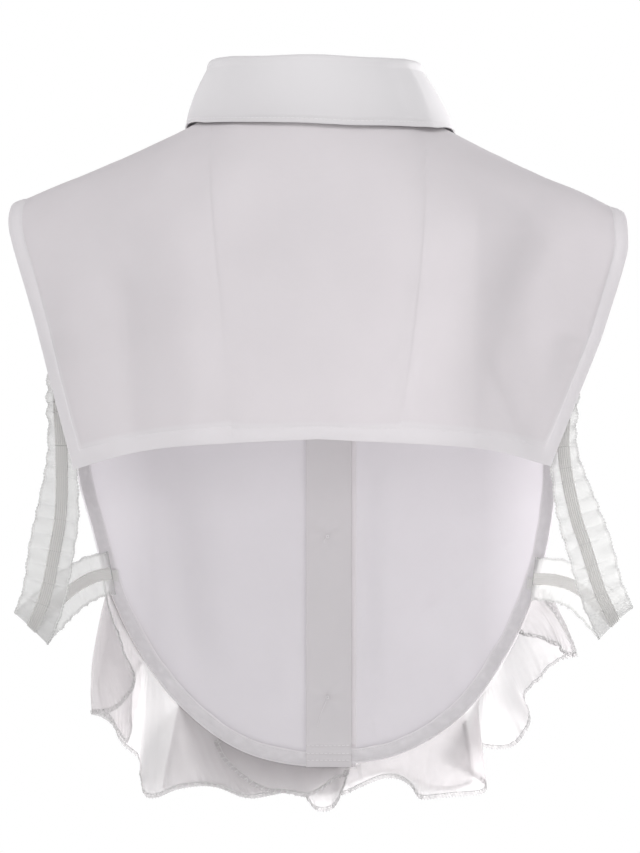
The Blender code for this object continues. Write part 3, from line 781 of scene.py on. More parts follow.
def thread_finish(name, level, tint=HEM_TINT):
    """Twisted sewing thread."""
    finish = Finish(bpy.data.materials.new(name))
    twist = finish.noise(finish.place(), scale=1400.0, detail=1.0)
    colour = finish.blend(twist, white(level * 0.88, tint), white(level, tint))
    normal = finish.bump(twist, distance=0.00012, strength=0.6)
    sockets = {"Base Color": colour, "Roughness": 0.6, "Specular IOR Level": 0.4, "Normal": normal}
    return finish.show(finish.node(PRINCIPLED, sockets=sockets))


def elastic_finish(name, light, dark, reverse):
    """Woven elastic, with darker lines between its ribs. Its inner face, the reverse, is painted lighter: a
    painted light on the strap's return, which lies in shade.
    """
    finish = Finish(bpy.data.materials.new(name))
    along, across, _ = finish.parts(finish.cloth_map())
    ribs = finish.wave(across, ELASTIC_RIBS)
    picks = finish.wave(along, PICKS)
    tone = ribs * (picks * 0.25 + 0.75)
    colour = finish.blend(tone, white(dark, ELASTIC_TINT), white(light, ELASTIC_TINT))
    # Painted light: the inner face is blended toward a lighter colour.
    colour = finish.blend(finish.attribute("reverse") * 0.7, colour, white(reverse, ELASTIC_TINT))
    normal = finish.bump(picks, distance=0.0001, strength=0.5)
    glow = white(light, ELASTIC_TINT)
    return finish.show(finish.lit_cloth(colour, glow, normal, through=0.5, roughness=0.7, specular=0.3))


def button_finish(name):
    """Pressed plastic with a faint shell-like cloud."""
    finish = Finish(bpy.data.materials.new(name))
    clouds = finish.noise(finish.place(), scale=300.0, detail=3.0)
    colour = finish.blend(clouds, PEARL_DARK, PEARL_LIGHT)
    normal = finish.bump(clouds, distance=0.00008, strength=0.3)
    sockets = {"Base Color": colour, "Roughness": clouds * 0.1 + 0.22, "Normal": normal}
    return finish.show(finish.node(PRINCIPLED, sockets=sockets))


COTTON = cloth_finish("cotton", light=0.71, dark=0.64, through=0.32)
# The front cotton carries the painted light on the sides of its inner face.
FRONT_COTTON = cloth_finish(
    "front_cotton", light=0.71, dark=0.64, through=0.34, tint=FRONT_TINT, painted_light_flank=0.93
)
# Painted shade: the same cotton painted darker and letting less light through, for the under button band
# that lies in shade.
PAINTED_SHADE_FACING = cloth_finish("facing_cotton_painted_shade", light=0.58, dark=0.51, through=0.10, hem_tint=COTTON_TINT)
BOUND = cloth_finish(
    "binding_cotton", light=0.82, dark=0.60, through=0.36, blotch=1.0, crumple=1.0, tint=HEM_TINT
)
# Painted shade: the collar's cotton is painted darker than the body's, to hold back the top lamp's light on
# it.
PAINTED_SHADE_COLLAR_COTTON = cloth_finish("collar_cotton_painted_shade", light=0.63, dark=0.60, through=0.08, tint=HEM_TINT)
VOILE = sheer_finish("voile", level=0.70, open_share=0.50, tint=VOILE_TINT, through=0.75)
# Painted shade: the same voile painted darker and less open, for the under layer of the left flounce that
# lies in the shade of the layers over it.
SHADED_VOILE = sheer_finish("voile_painted_shade", level=0.62, open_share=0.10, tint=VOILE_TINT, through=0.3)
STRAP_VOILE = sheer_finish("strap_voile", level=0.61, open_share=0.56, tint=STRAP_TINT)
THREAD = thread_finish("sewing_thread", level=0.74)
OVERLOCK = thread_finish("overlock_thread", level=0.62, tint=STRAP_TINT)
FLOUNCE_OVERLOCK = thread_finish("flounce_overlock_thread", level=0.50, tint=STRAP_TINT)
# reverse is the painted light on the elastic's inner face.
ELASTIC = elastic_finish("elastic", light=0.76, dark=0.50, reverse=0.96)
PEARL = button_finish("button")


# Meshes. Cloth pieces are closed walls on a grid of columns and rows.


def plain_object(name, mesh):
    """Put a bmesh in the scene as an object at the origin."""
    data = bpy.data.meshes.new(name)
    mesh.to_mesh(data)
    mesh.free()
    made = bpy.data.objects.new(name, data)
    bpy.context.scene.collection.objects.link(made)
    return made


def finish_mesh(name, mesh, paint, slot, *nodes, sharp=50):
    """Scale a piece to metres, shade it and put it in the scene on its body."""
    bmesh.ops.scale(mesh, vec=(MM, MM, MM), verts=mesh.verts)
    piece = plain_object(name, mesh)
    piece.data.materials.append(paint)
    piece.data.shade_smooth()
    piece.data.set_sharp_from_angle(angle=math.radians(sharp))
    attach(piece, "root")
    if nodes:
        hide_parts(*nodes)
    return piece


def running_lengths(points):
    """Length along a row of points, at each of them."""
    steps = [(end - start).length for start, end in zip(points, points[1:])]
    return list(accumulate(steps, initial=0.0))


def outer_face(spot):
    """Point and normal on the outside of a wall, from what its place function gives."""
    point, normal, _ = spot
    return point, normal


def inner_face(spot):
    """Point and normal on the inside of a wall, from what its place function gives."""
    point, normal, thick = spot
    return point - normal * thick, -normal


def wall(name, across, down, place, paint, slot, *nodes):
    """Make a closed wall. place(across, down) gives its outer point, its normal and its thickness.

    Its chart counts metres of cloth. Attribute plies counts layers, and reverse is 1 on the inner face.
    """
    columns, rows = len(across) - 1, len(down) - 1
    outside, inside = {}, {}
    for column, a in enumerate(across):
        for row, d in enumerate(down):
            point, normal, thick = place(a, d)
            outside[column, row] = point
            inside[column, row] = point - normal * thick
    length_across, length_down = {}, {}
    for row in range(rows + 1):
        line = [outside[column, row] for column in range(columns + 1)]
        for column, run in enumerate(running_lengths(line)):
            length_across[column, row] = run * MM
    for column in range(columns + 1):
        line = [outside[column, row] for row in range(rows + 1)]
        for row, run in enumerate(running_lengths(line)):
            length_down[column, row] = run * MM
    slab = bmesh.new()
    bmesh.ops.create_grid(slab, x_segments=columns, y_segments=rows, size=0.5)
    sheet = slab.verts[:] + slab.edges[:] + slab.faces[:]
    copy = bmesh.ops.extrude_face_region(slab, geom=sheet, use_keep_orig=True)
    for corner in copy["geom"]:
        if isinstance(corner, bmesh.types.BMVert):
            corner.co.z = 1
    spots = {}
    plies = slab.verts.layers.float.new("plies")
    reverse = slab.verts.layers.float.new("reverse")
    for corner in slab.verts:
        spot = round((corner.co.x + 0.5) * columns), round((corner.co.y + 0.5) * rows)
        spots[corner] = spot
        corner[plies] = (outside[spot] - inside[spot]).length / CLOTH
        corner[reverse] = float(corner.co.z > 0.5)
        corner.co = inside[spot] if corner.co.z > 0.5 else outside[spot]
    chart = slab.loops.layers.uv.new("cloth")
    for face in slab.faces:
        for loop in face.loops:
            spot = spots[loop.vert]
            loop[chart].uv = length_across[spot], length_down[spot]
    bmesh.ops.recalc_face_normals(slab, faces=slab.faces)
    return finish_mesh(name, slab, paint, slot, *nodes)


# A stitch goes into the cloth at both ends. along counts stitch lengths, rise millimetres.
Dip = namedtuple("Dip", "along rise")
STITCH = (Dip(-0.5, -0.15), Dip(-0.3, 0.06), Dip(0.3, 0.06), Dip(0.5, -0.15))
STITCH_RADIUS = 0.21


def stitch_rows(name, rows, slot="cotton", length=2.3, pitch=3.0):
    """Lay thread stitches along rows of (point, normal) pairs."""
    lines = []
    for row in rows:
        left = pitch / 2
        for (start, normal), (end, _) in zip(row, row[1:]):
            run = end - start
            way = run.normalized()
            while left < run.length:
                here = start + way * left
                lines.append([here + way * length * dip.along + normal * dip.rise for dip in STITCH])
                left += pitch
            left -= run.length
    return thread_lines(name, lines, STITCH_RADIUS, THREAD, slot, corners=0)


def thread_lines(name, lines, radius, paint, slot, corners=1):
    """Threads as round cords along lists of points."""
    curve = bpy.data.curves.new(name, "CURVE")
    curve.dimensions = "3D"
    curve.bevel_depth = radius
    curve.bevel_resolution = corners
    curve.use_fill_caps = True
    for line in lines:
        spline = curve.splines.new("POLY")
        spline.points.add(len(line) - 1)
        for spot, point in zip(spline.points, line):
            spot.co = (*point, 1)
    holder = bpy.data.objects.new(name + "_line", curve)
    bpy.context.scene.collection.objects.link(holder)
    bpy.context.view_layer.update()
    made = bmesh.new()
    made.from_mesh(holder.evaluated_get(bpy.context.evaluated_depsgraph_get()).to_mesh())
    bpy.data.objects.remove(holder, do_unlink=True)
    bpy.data.curves.remove(curve)
    return finish_mesh(name, made, paint, slot, sharp=80)


# The looper thread reaches OVERHANG past the rim, and comes back over the cloth on either face in turn.
Loop = namedtuple("Loop", "pitches widths rise")
LOOPER = (Loop(0.3, 0.5, 0.45), Loop(0.5, 1.0, 0.3))
OVERHANG = 0.3
OVERHANG_RISE = 0.1
NEEDLE_RISE = 0.35


def overlock(name, edges, paint, width, pitch, radius):
    """Overlocked edge: a needle line inside it and a looper thread that wraps over the rim."""
    lines = []
    for edge in edges:
        wrap, needle, left, flip = [], [], 0.0, 1
        for (start, normal, inward), (end, _, _) in zip(edge, edge[1:]):
            run = end - start
            way = run.normalized() if run.length > 1e-6 else Vector((1, 0, 0))
            while left < run.length:
                here = start + way * left
                wrap.append(here - inward * OVERHANG + normal * OVERHANG_RISE * flip)
                for loop in LOOPER:
                    over = way * pitch * loop.pitches + normal * loop.rise * flip
                    wrap.append(here + over + inward * width * loop.widths)
                needle.append(here + inward * width + normal * NEEDLE_RISE)
                flip = -flip
                left += pitch
            left -= run.length
        lines += [wrap, needle]
    return thread_lines(name, lines, radius, paint, "sheer")


# Neck and shoulder stations that the panels share.


def shoulder_seam(x):
    forward = mix(SEAM_FORWARD, SEAM_FORWARD + 4, (x - NECK_HALF_WIDTH) / (SHOULDER - NECK_HALF_WIDTH))
    return turn_at_depth(x, -forward)


def neck(degrees):
    """Place on the neck seam, 0 at the nape, 90 at the left side and 180 at the front."""
    angle = math.radians(degrees)
    x = NECK_HALF_WIDTH * math.sin(angle)
    y = (NECK_BACK if math.cos(angle) > 0 else NECK_FRONT) * math.cos(angle)
    return x, turn_at_depth(x, y)


@cache
def back_top(x):
    """Turn of the back panel's top edge: the neck seam, then the shoulder seam."""
    if abs(x) < NECK_HALF_WIDTH - 0.01:
        return turn_at_depth(x, NECK_BACK * math.sqrt(1 - (x / NECK_HALF_WIDTH) ** 2))
    return shoulder_seam(abs(x))


# Back panel.


@cache
def back_foot(top_x):
    foot_x = top_x / SHOULDER * on_side(BACK_EDGE[-1], top_x)
    return turn_at_height(foot_x, smooth(BACK_HEM, abs(foot_x)).z, 1)


def back_spot(top_x, share):
    x = top_x / SHOULDER * on_side(smooth(BACK_EDGE, share), top_x)
    return x, mix(back_top(top_x), back_foot(top_x), share)


def hem_form(inset):
    """Height and thickness of a turned hem, by the distance from its folded edge."""
    puff = HEM_PUFF * math.sin(math.pi * min(inset / HEM_STITCH, 1))
    dip = HEM_DIP * hump(inset - HEM_STITCH, 0.9)
    roll = HEM_ROLL * (1 - ease(inset / 1.2))
    plies = HEM_PLIES if inset < HEM_WIDTH else 1.0
    return puff - dip - roll, CLOTH * plies


def back_place(top_x, share):
    x, turn = back_spot(top_x, share)
    point, normal = surface(x, turn)
    fall = fold_height(BACK_FOLDS, x, point.z) + fold_height(BACK_CREASES, x, point.z)
    fall *= ease((turn - BACK_FOLD_TURN) / BACK_FOLD_DROP)
    width = on_side(smooth(BACK_EDGE, share), top_x) / SHOULDER
    inset = min((SHOULDER - abs(top_x)) * width, (1 - share) * BACK_LENGTH)
    lift, thick = hem_form(inset)
    phase = (x + point.z) * 0.9 + rumple(point, size=9, height=2)
    lift += HEM_PUCKER * hump(inset - HEM_STITCH, 5) * math.sin(phase)
    lift += rumple(point, size=34, height=0.8) + rumple(point, size=12, height=0.18)
    return point + normal * (fall + lift - BACK_SUNK), normal, thick


def make_back_panel():
    """The back, with columns and rows close together where its hems and its neck seam are."""
    hem_columns = [SIDE_HEM + step for step in (0, 0.4, 0.9, 1.5)]
    across = spread(-SHOULDER, SHOULDER, 3.0, *hem_columns, *(-x for x in hem_columns))
    neck_columns = [NECK_HALF_WIDTH * math.sin(math.radians(angle)) for angle in spread(-90, 90, 3)]
    beyond_neck = [x for x in across if abs(x) > NECK_HALF_WIDTH + 1]
    across = sorted([*beyond_neck, *neck_columns, -SHOULDER + 0.6, SHOULDER - 0.6])
    foot = 1 - HEM_WIDTH / BACK_LENGTH
    down = spread(0, 1, 0.014, foot, foot + 0.002, foot + 0.004, foot + 0.007, 0.997)
    panel = wall("back_panel_cloth", across, down, back_place, COTTON, "cotton", "back_panel")

    stitch_x = SIDE_HEM + 1
    stitch_share = 1 - HEM_STITCH / BACK_LENGTH
    rows = [[outer_face(back_place(x, stitch_share)) for x in spread(-stitch_x, stitch_x, 3)]]
    for x in (stitch_x, -stitch_x):
        rows.append([outer_face(back_place(x, share)) for share in spread(0, stitch_share, 0.012)])
    for hand in (1, -1):
        seam = [hand * x for x in spread(NECK_HALF_WIDTH + 3, SHOULDER - 2, 3)]
        rows.append([outer_face(back_place(x, SHOULDER_STITCH)) for x in seam])
    sewing = [stitch_rows("back_stitches", rows)]


# Bib.

EDGE_STEPS = 14
DOWN_STEPS = 16
NECK_COLUMNS = 6
ARMHOLE_ROWS = 10
CORNER_ANGLE = 62.0
BINDING_STEP = 0.25


@cache
def bib_edge(angle, hand, inset=0.0):
    """x and turn on the U edge, at an angle from straight down. hand is 1 on the wearer's left."""
    far = on_side(smooth(BIB_EDGE, angle), hand) - inset
    x = hand * far * math.sin(math.radians(angle))
    z = BIB_CENTRE - far * math.cos(math.radians(angle))
    return x, turn_at_height(x, z, -1)


def angle_at_x(x, hand):
    return math.degrees(math.asin(hand * x / on_side(BIB_EDGE[1], hand)))


@cache
def front_top(column, start_x, hand):
    """x and turn of a front's top edge at a column: along the neck, then along the shoulder."""
    end = math.degrees(math.acos(SEAM_FORWARD / NECK_FRONT))
    start = math.degrees(math.asin(hand * start_x / NECK_HALF_WIDTH))
    if column <= NECK_COLUMNS:
        angle = math.radians(mix(start, end, column / NECK_COLUMNS))
        x = hand * NECK_HALF_WIDTH * math.sin(angle)
        return x, turn_at_depth(x, -NECK_FRONT * math.cos(angle))
    share = (column - NECK_COLUMNS) / (EDGE_STEPS - NECK_COLUMNS)
    x = mix(NECK_HALF_WIDTH * math.sin(math.radians(end)), SHOULDER - 1, share)
    return hand * x, shoulder_seam(x)


@cache
def front_side(row, start_x, hand):
    """x and turn of a front's outer edge at a row: down the armhole, then round the U."""
    if row > ARMHOLE_ROWS:
        return bib_edge(mix(90, CORNER_ANGLE, (row - ARMHOLE_ROWS) / (DOWN_STEPS - ARMHOLE_ROWS)), hand)
    top_x, top_turn = front_top(EDGE_STEPS, start_x, hand)
    foot_x, foot_turn = bib_edge(90, hand)
    share = row / ARMHOLE_ROWS
    return mix(top_x, foot_x, share), mix(top_turn, foot_turn, share)


@cache
def front_corners(start_x, hand):
    return (
        Vector(front_top(0, start_x, hand)),
        Vector(bib_edge(angle_at_x(start_x, hand), hand)),
        Vector(front_side(0, start_x, hand)),
        Vector(bib_edge(CORNER_ANGLE, hand)),
    )


def front_spot(column, row, start_x, hand):
    """x and turn of a point on a front, blended from its four edges."""
    across, down = column / EDGE_STEPS, row / DOWN_STEPS
    top = Vector(front_top(column, start_x, hand))
    foot = Vector(bib_edge(mix(angle_at_x(start_x, hand), CORNER_ANGLE, across), hand))
    inner_top, inner_foot, outer_top, outer_foot = front_corners(start_x, hand)
    inner = inner_top.lerp(inner_foot, down)
    outer = Vector(front_side(row, start_x, hand))
    corners = inner.lerp(outer_top.lerp(outer_foot, down), across)
    return tuple(top.lerp(foot, down) + inner.lerp(outer, across) - corners)


def bib_height(x, turn, point):
    """Soft folds and creases of the bib, which die away at its edge and at the button bands."""
    drop = max(BIB_CENTRE - point.z, 0)
    reach = smooth(BIB_EDGE, math.degrees(math.atan2(abs(x), drop)))
    share = math.hypot(x, drop) / on_side(reach, x)
    at_edge = ease((BIB_FOLD_LIMIT - share) / BIB_FOLD_FADE)
    from_bands = max(TOP_BAND.right - 1 - x, x - UNDER_BAND.left - 2)
    at_chest = ease((BIB_FOLD_TURN - turn) / BIB_FOLD_DROP)
    folds = fold_height(BIB_FOLDS, x, point.z) * at_edge * ease(from_bands / BIB_FOLD_CLEAR) * at_chest
    creases = fold_height(BIB_CREASES, x, point.z) * ease(from_bands / BIB_CREASE_CLEAR)
    creases *= ease((BIB_CREASE_LIMIT - share) / BIB_CREASE_FADE)
    uneven = rumple(point, size=30, height=0.7) * at_edge + rumple(point, size=11, height=0.16)
    return folds + creases + uneven


def edge_spots(start_x, hand):
    """x and turn of points down a front's armhole and round its U edge to the button bands."""
    side = [(EDGE_STEPS, row) for row in spread(0, DOWN_STEPS, BINDING_STEP)]
    foot = [(column, DOWN_STEPS) for column in spread(0, EDGE_STEPS, BINDING_STEP)]
    return [front_spot(column, row, start_x, hand) for column, row in side + foot[-2::-1]]


def inside_edge(spots, points, number, start_x, hand, inset):
    """x and turn at a distance inside one point of an edge, but no nearer the middle than start_x."""
    tangent = points[min(number + 1, len(points) - 1)] - points[max(number - 1, 0)]
    x, turn = moved_in(*spots[number], tangent, -hand * inset)
    return (start_x if hand * x < hand * start_x else x), turn


def beside_edge(start_x, hand, inset, out):
    """Points and normals on the bib along its outer edge, a distance inside it."""
    spots = edge_spots(start_x, hand)
    points = [body_point(*spot) for spot in spots]
    row = []
    for number in range(len(spots)):
        x, turn = inside_edge(spots, points, number, start_x, hand, inset)
        point, normal = surface(x, turn)
        row.append((point + normal * (bib_height(x, turn, point) + out), normal))
    return row


def make_front(side_name, start_x, hand):
    def place(column, row):
        x, turn = front_spot(column, row, start_x, hand)
        point, normal = surface(x, turn)
        return point + normal * bib_height(x, turn, point), normal, CLOTH

    across = spread(0, EDGE_STEPS, 0.2)
    down = spread(0, DOWN_STEPS, 0.16)
    node = f"front_{side_name}"
    panel = wall(node + "_cloth", across, down, place, FRONT_COTTON, "cotton", node)
    outer_rows = [beside_edge(start_x, hand, inset, 0) for inset in EDGE_STITCHES]
    sewing = [stitch_rows(node + "_stitches", outer_rows)]


def make_binding(side_name, start_x, hand):
    """Crumpled facing strip along the inside of the bib's outer edge."""
    spots = edge_spots(start_x, hand)
    points = [body_point(*spot) for spot in spots]

    def place(number, share):
        width = BINDING_WIDTH + rumple(points[number], size=14, height=BINDING_WANDER)
        x, turn = inside_edge(spots, points, number, start_x, hand, width * share)
        point, normal = surface(x, turn)
        bulge = math.sin(math.pi * share)
        crinkle = rumple(point, size=4.5, height=0.2)
        crinkle += rumple(point, size=16, height=0.12) * math.sin(number * 2.4)
        depth = BINDING_DEPTH - bib_height(x, turn, point) - BINDING_RISE * bulge - crinkle
        rim = hump(share, BINDING_RIM) + hump(1 - share, BINDING_RIM)
        plies = BINDING_PLIES + BINDING_RIM_PLIES * rim
        pucker = rumple(point, size=3.2, height=BINDING_PUCKER) * bulge
        return point - normal * depth, normal, CLOTH * plies + pucker

    numbers = list(range(len(spots)))
    down = spread(0, 1, 0.1, 0.04, 0.96)
    node = f"binding_{side_name}"
    band = wall(node + "_cloth", numbers, down, place, BOUND, "facing", node)
    depth = BINDING_DEPTH + CLOTH * BINDING_PLIES + 0.1
    rows = []
    for inset in EDGE_STITCHES:
        rows.append([(point, -normal) for point, normal in beside_edge(start_x, hand, inset, -depth)])
    sewing = [stitch_rows(node + "_stitches", rows, slot="facing")]


def band_turn(x, share):
    """Turn on a button band, from the neck seam to its foot."""
    top = turn_at_depth(x, -NECK_FRONT * math.sqrt(1 - (x / NECK_HALF_WIDTH) ** 2))
    return mix(top, turn_at_height(x, BAND_FOOT, -1), share)


def button_pull(x, z):
    """Height of the small creases that a button's thread pulls into the band around it."""
    pull = 0.0
    for height in BUTTON_HEIGHTS:
        away = math.hypot(x - BUTTON_X, z - height)
        spoke = math.sin(PULL_SPOKES * math.atan2(z - height, x - BUTTON_X) + height)
        pull += PULL_CREASE * hump(away - 6, 5) * spoke - PULL_DENT * hump(away, 4)
    return pull


def make_button_band(node, span, depth, paint, slot, stitched_at, facing):
    """Strip down the bib's middle, from the neck seam to the U edge. facing is 1 for the outer strip."""

    def place(x, share):
        turn = band_turn(x, share)
        point, normal = surface(x, turn)
        roll = 0.25 * (1 - ease(min(x - span.right, span.left - x) / 1.2))
        lift = rumple(point, size=26, height=0.5) + rumple(point, size=9, height=0.14)
        lift += button_pull(x, point.z) * facing
        dent = sum(hump((share - row) * BAND_LENGTH, 0.9) for row in BAND_FOOT_ROWS)
        return point + normal * (lift - roll - depth), normal, BAND - BAND_FOOT_DENT * dent

    across = spread(*span, 1.6, span.right + 0.5, span.left - 0.5)
    steps = (-1.6, -0.8, 0, 0.8, 1.6)
    down = spread(0, 1, 0.006, *(row + step / BAND_LENGTH for row in BAND_FOOT_ROWS for step in steps))
    band = wall(node + "_cloth", across, down, place, paint, slot, node)

    face = outer_face if facing > 0 else inner_face
    rows = []
    for x in stitched_at:
        rows.append([face(place(x, share)) for share in spread(0.004, 0.996, 0.008)])
    for share in BAND_FOOT_ROWS:
        rows.append([face(place(x, share)) for x in spread(span.right + 1, span.left - 1, 2)])
    sewing = [stitch_rows(node + "_stitches", rows, slot=slot)]
    flat = ((span.left - span.right) * MM, BAND_LENGTH * MM)


# Collar.


def stand_top(degrees):
    foot = body_point(*neck(degrees))
    height = smooth(STAND_HEIGHTS, abs(degrees)).height
    return Vector((foot.x * STAND_TOP_SCALE + STAND_TOP_SHIFT, foot.y, foot.z + height))


def outward(degrees):
    """Level direction away from the neck."""
    angle = math.radians(degrees)
    depth = NECK_BACK if math.cos(angle) > 0 else NECK_FRONT
    return Vector((math.sin(angle) / NECK_HALF_WIDTH, math.cos(angle) / depth, 0)).normalized()


def stand_place(degrees, share):
    from_overlap = (abs(degrees) - STAND_LAP_FROM) / STAND_LAP_EASE
    lap = math.copysign(STAND_LAP * ease(from_overlap), -degrees)
    foot = body_point(*neck(degrees)) - Vector((0, 0, STAND_TUCK))
    rim = ease(share / 0.05) * ease((1 - share) / 0.05)
    thick = mix(STAND_RIM, COLLAR, rim)
    bulge = STAND_BULGE * math.sin(math.pi * share)
    point = foot.lerp(stand_top(degrees), share)
    out = lap + thick / 2 + bulge + rumple(point, size=24, height=0.3)
    return point + outward(degrees) * out, outward(degrees), thick


def make_stand():
    across = spread(-STAND_END, STAND_END, 2.4)
    down = spread(0, 1, 0.08, 0.02, 0.98)
    stand = wall("collar_stand_cloth", across, down, stand_place, PAINTED_SHADE_COLLAR_COTTON, "cotton", "collar_stand")
    rows = []
    for share in STAND_STITCHES:
        turns = spread(-STAND_END + 2, STAND_END - 2, 2.4)
        rows.append([inner_face(stand_place(degrees, share)) for degrees in turns])
    sewing = [stitch_rows("stand_stitches", rows)]


def leaf_edge(degrees):
    leaf = smooth(LEAF_EDGE, abs(degrees))
    return body(math.copysign(leaf.x, degrees) + LEAF_SHIFT, leaf.turn, LEAF_LIFT)


@cache
def fall_middle(degrees, share):
    """Point on the middle layer of the fall, from inside the fold to the leaf's free edge."""
    step = smooth(ROLL, share)
    point = stand_top(degrees) + outward(degrees) * step.out + Vector((0, 0, step.up))
    last = ROLL[-1]
    if share <= last.share:
        return point
    t = (share - last.share) / (1 - last.share)
    bow = outward(degrees) * FALL_BOW * arch(t)
    return point.lerp(leaf_edge(degrees), t) + bow


def fall_inset(degrees, share):
    """Distance from the leaf's edge, at its foot or at its front ends."""
    return min((1 - share) * LEAF_LENGTH, (FALL_END - abs(degrees)) * mix(1.1, 1.7, share))


def fall_place(degrees, share):
    ahead = fall_middle(degrees, min(share + 0.01, 1))
    behind = fall_middle(degrees, max(share - 0.01, 0))
    left = fall_middle(min(degrees + 1, FALL_END), share)
    right = fall_middle(max(degrees - 1, -FALL_END), share)
    normal = (left - right).cross(ahead - behind).normalized()
    inset = fall_inset(degrees, share)
    seam = TOPSTITCH_DIP * hump(inset - TOPSTITCH, 0.8)
    thick = mix(FALL_RIM, COLLAR, ease(inset / 1.4)) - seam / 2
    creases = sum(crease.height * hump(degrees - crease.degrees, crease.width) for crease in FALL_CREASES)
    point = fall_middle(degrees, share)
    uneven = rumple(point, size=28, height=0.4) * ease(share / 0.2)
    out = thick / 2 + creases * ease(share / 0.3) - seam + uneven
    return point + normal * out, normal, thick


def make_fall():
    """The collar's fall, folded over the stand, top-stitched along its foot and its front ends."""
    near_ends = [FALL_END - inset for inset in (0.6, 2.2)]
    across = spread(-FALL_END, FALL_END, 2.0, *near_ends, *(-degrees for degrees in near_ends))
    edge = 1 - TOPSTITCH / LEAF_LENGTH
    down = spread(0, 0.2, 0.01)[:-1] + spread(0.2, 1, 0.03, edge - 0.02, edge, edge + 0.02, 0.985, 0.995)
    leaf = wall("collar_fall_cloth", across, down, fall_place, PAINTED_SHADE_COLLAR_COTTON, "cotton", "collar_fall")

    stitch_end = FALL_END - TOPSTITCH / 1.5
    rows = [[outer_face(fall_place(degrees, edge)) for degrees in spread(-stitch_end, stitch_end, 2)]]
    for end in (stitch_end, -stitch_end):
        rows.append([outer_face(fall_place(end, share)) for share in spread(0.22, edge, 0.03)])
    sewing = [stitch_rows("fall_stitches", rows)]


# Flounce.


def make_flounce(name, ribs, hand, depth, tuck=FLOUNCE_TUCK, paint=VOILE, nodes=()):
    """A length of flounce, sewn on under the bib's edge and overlocked along its hem and both ends.

    along counts ribs and share goes from the edge to the hem, with -1 up under the binding.
    """
    table = [Numbered(number, *rib) for number, rib in enumerate(ribs)]
    last = len(ribs) - 1

    @cache
    def seam_at(angle):
        x, turn = bib_edge(angle, hand, tuck)
        edge_x, edge_turn = bib_edge(angle, hand, -FLOUNCE_PROUD)
        if TOP_BAND.right - 1 < x < UNDER_BAND.left + 1:
            turn = min(turn, turn_at_height(x, BAND_FOOT + tuck, -1))
            edge_turn = min(edge_turn, turn_at_height(edge_x, BAND_FOOT - FLOUNCE_PROUD, -1))
        return body(x, turn, -depth), body(edge_x, edge_turn, -depth)

    @cache
    def middle(along, share):
        rib = smooth(table, along)
        tucked, edge = seam_at(rib.angle)
        if share < 0:
            return edge.lerp(tucked, -share)
        free = Vector((hand * rib.x, rib.y, rib.z))
        belly = hand * max(rib.belly, 0) * arch(share)
        return edge.lerp(free, share) + Vector((belly, 0, 0))

    def place(along, share):
        step = max(share, 0.0)
        beside = middle(min(along + 0.1, last), step) - middle(max(along - 0.1, 0), step)
        hanging = middle(along, min(step + 0.05, 1)) - middle(along, max(step - 0.05, 0))
        normal = beside.cross(hanging).normalized() * -hand
        point = middle(along, share)
        gather = FLOUNCE_GATHER * math.sin(along * 8.0 + math.sin(along))
        gather *= ease(share / FLOUNCE_SEWN) * (1 - ease(share / 0.5))
        flutter = FLOUNCE_FLUTTER * noise.noise(Vector((along * 2.1, 3.0, hand))) * ease(share)
        ripple = FLOUNCE_RIPPLE * math.sin(along * 11.0 + 2 * math.sin(along * 3.1))
        ripple *= ease((share - 0.7) / 0.3)
        lift = gather + flutter + ripple + rumple(point, size=13, height=0.5) * ease(share / 0.2)
        return point + normal * (lift + SHEER / 2), normal, SHEER

    across = spread(0, last, 0.09)
    down = [-1.0, -0.3, 0.0] + spread(0.0, 1, 0.05)[1:]
    cloth = wall(name + "_cloth", across, down, place, paint, "sheer", *nodes)

    def rim(along, share, along_in, share_in):
        point, normal, _ = place(along, share)
        inner, _, _ = place(along_in, share_in)
        return point - normal * SHEER / 2, normal, (inner - point).normalized()

    hem = [rim(along, 1.0, along, 0.95) for along in spread(0.02, last - 0.02, 0.06)]
    ends = []
    for along, along_in in ((0.02, 0.2), (last - 0.02, last - 0.2)):
        ends.append([rim(along, share, along_in, share) for share in spread(0.1, 0.98, 0.03)])
    edging = overlock(name + "_edging", [hem, *ends], FLOUNCE_OVERLOCK, width=2.8, pitch=2.2, radius=0.24)
    held = f"front_{'left' if hand > 0 else 'right'}_cloth"


# Side straps.


def strap_point(step, hand):
    station = smooth(STRAP, step)
    if hand > 0:
        return Vector((station.left_x, station.left_y, station.left_z))
    return Vector((-station.right_x, station.right_y, station.right_z))


def strap_steps(columns, hand):
    """Steps along the stations at even lengths along the strap, with the length at each."""
    steps = [STRAP[-1].step * n / STRAP_FINE_STEPS for n in range(STRAP_FINE_STEPS + 1)]
    lengths = running_lengths([strap_point(step, hand) for step in steps])
    even = []
    for column in range(columns + 1):
        wanted = lengths[-1] * column / columns
        n = min(max(bisect_left(lengths, wanted) - 1, 0), STRAP_FINE_STEPS - 1)
        share = (wanted - lengths[n]) / (lengths[n + 1] - lengths[n])
        even.append((mix(steps[n], steps[n + 1], share), wanted))
    return even


def strap_frame(step, hand):
    """Middle, width direction and outer face's normal of a strap at a step."""
    station = smooth(STRAP, step)
    along = (strap_point(step + 0.05, hand) - strap_point(step - 0.05, hand)).normalized()
    across = Vector((hand * station.across_x, station.across_y, station.across_z))
    across = (across - along * across.dot(along)).normalized()
    return strap_point(step, hand), across, along.cross(across) * hand


def across_ribs(tape):
    """Count the chart's second direction in widths of a tape, for the ribs of the elastic."""
    chart = tape.data.uv_layers["cloth"].data
    widest = max(spot.uv[1] for spot in chart)
    for spot in chart:
        spot.uv = (spot.uv[0], spot.uv[1] / widest)


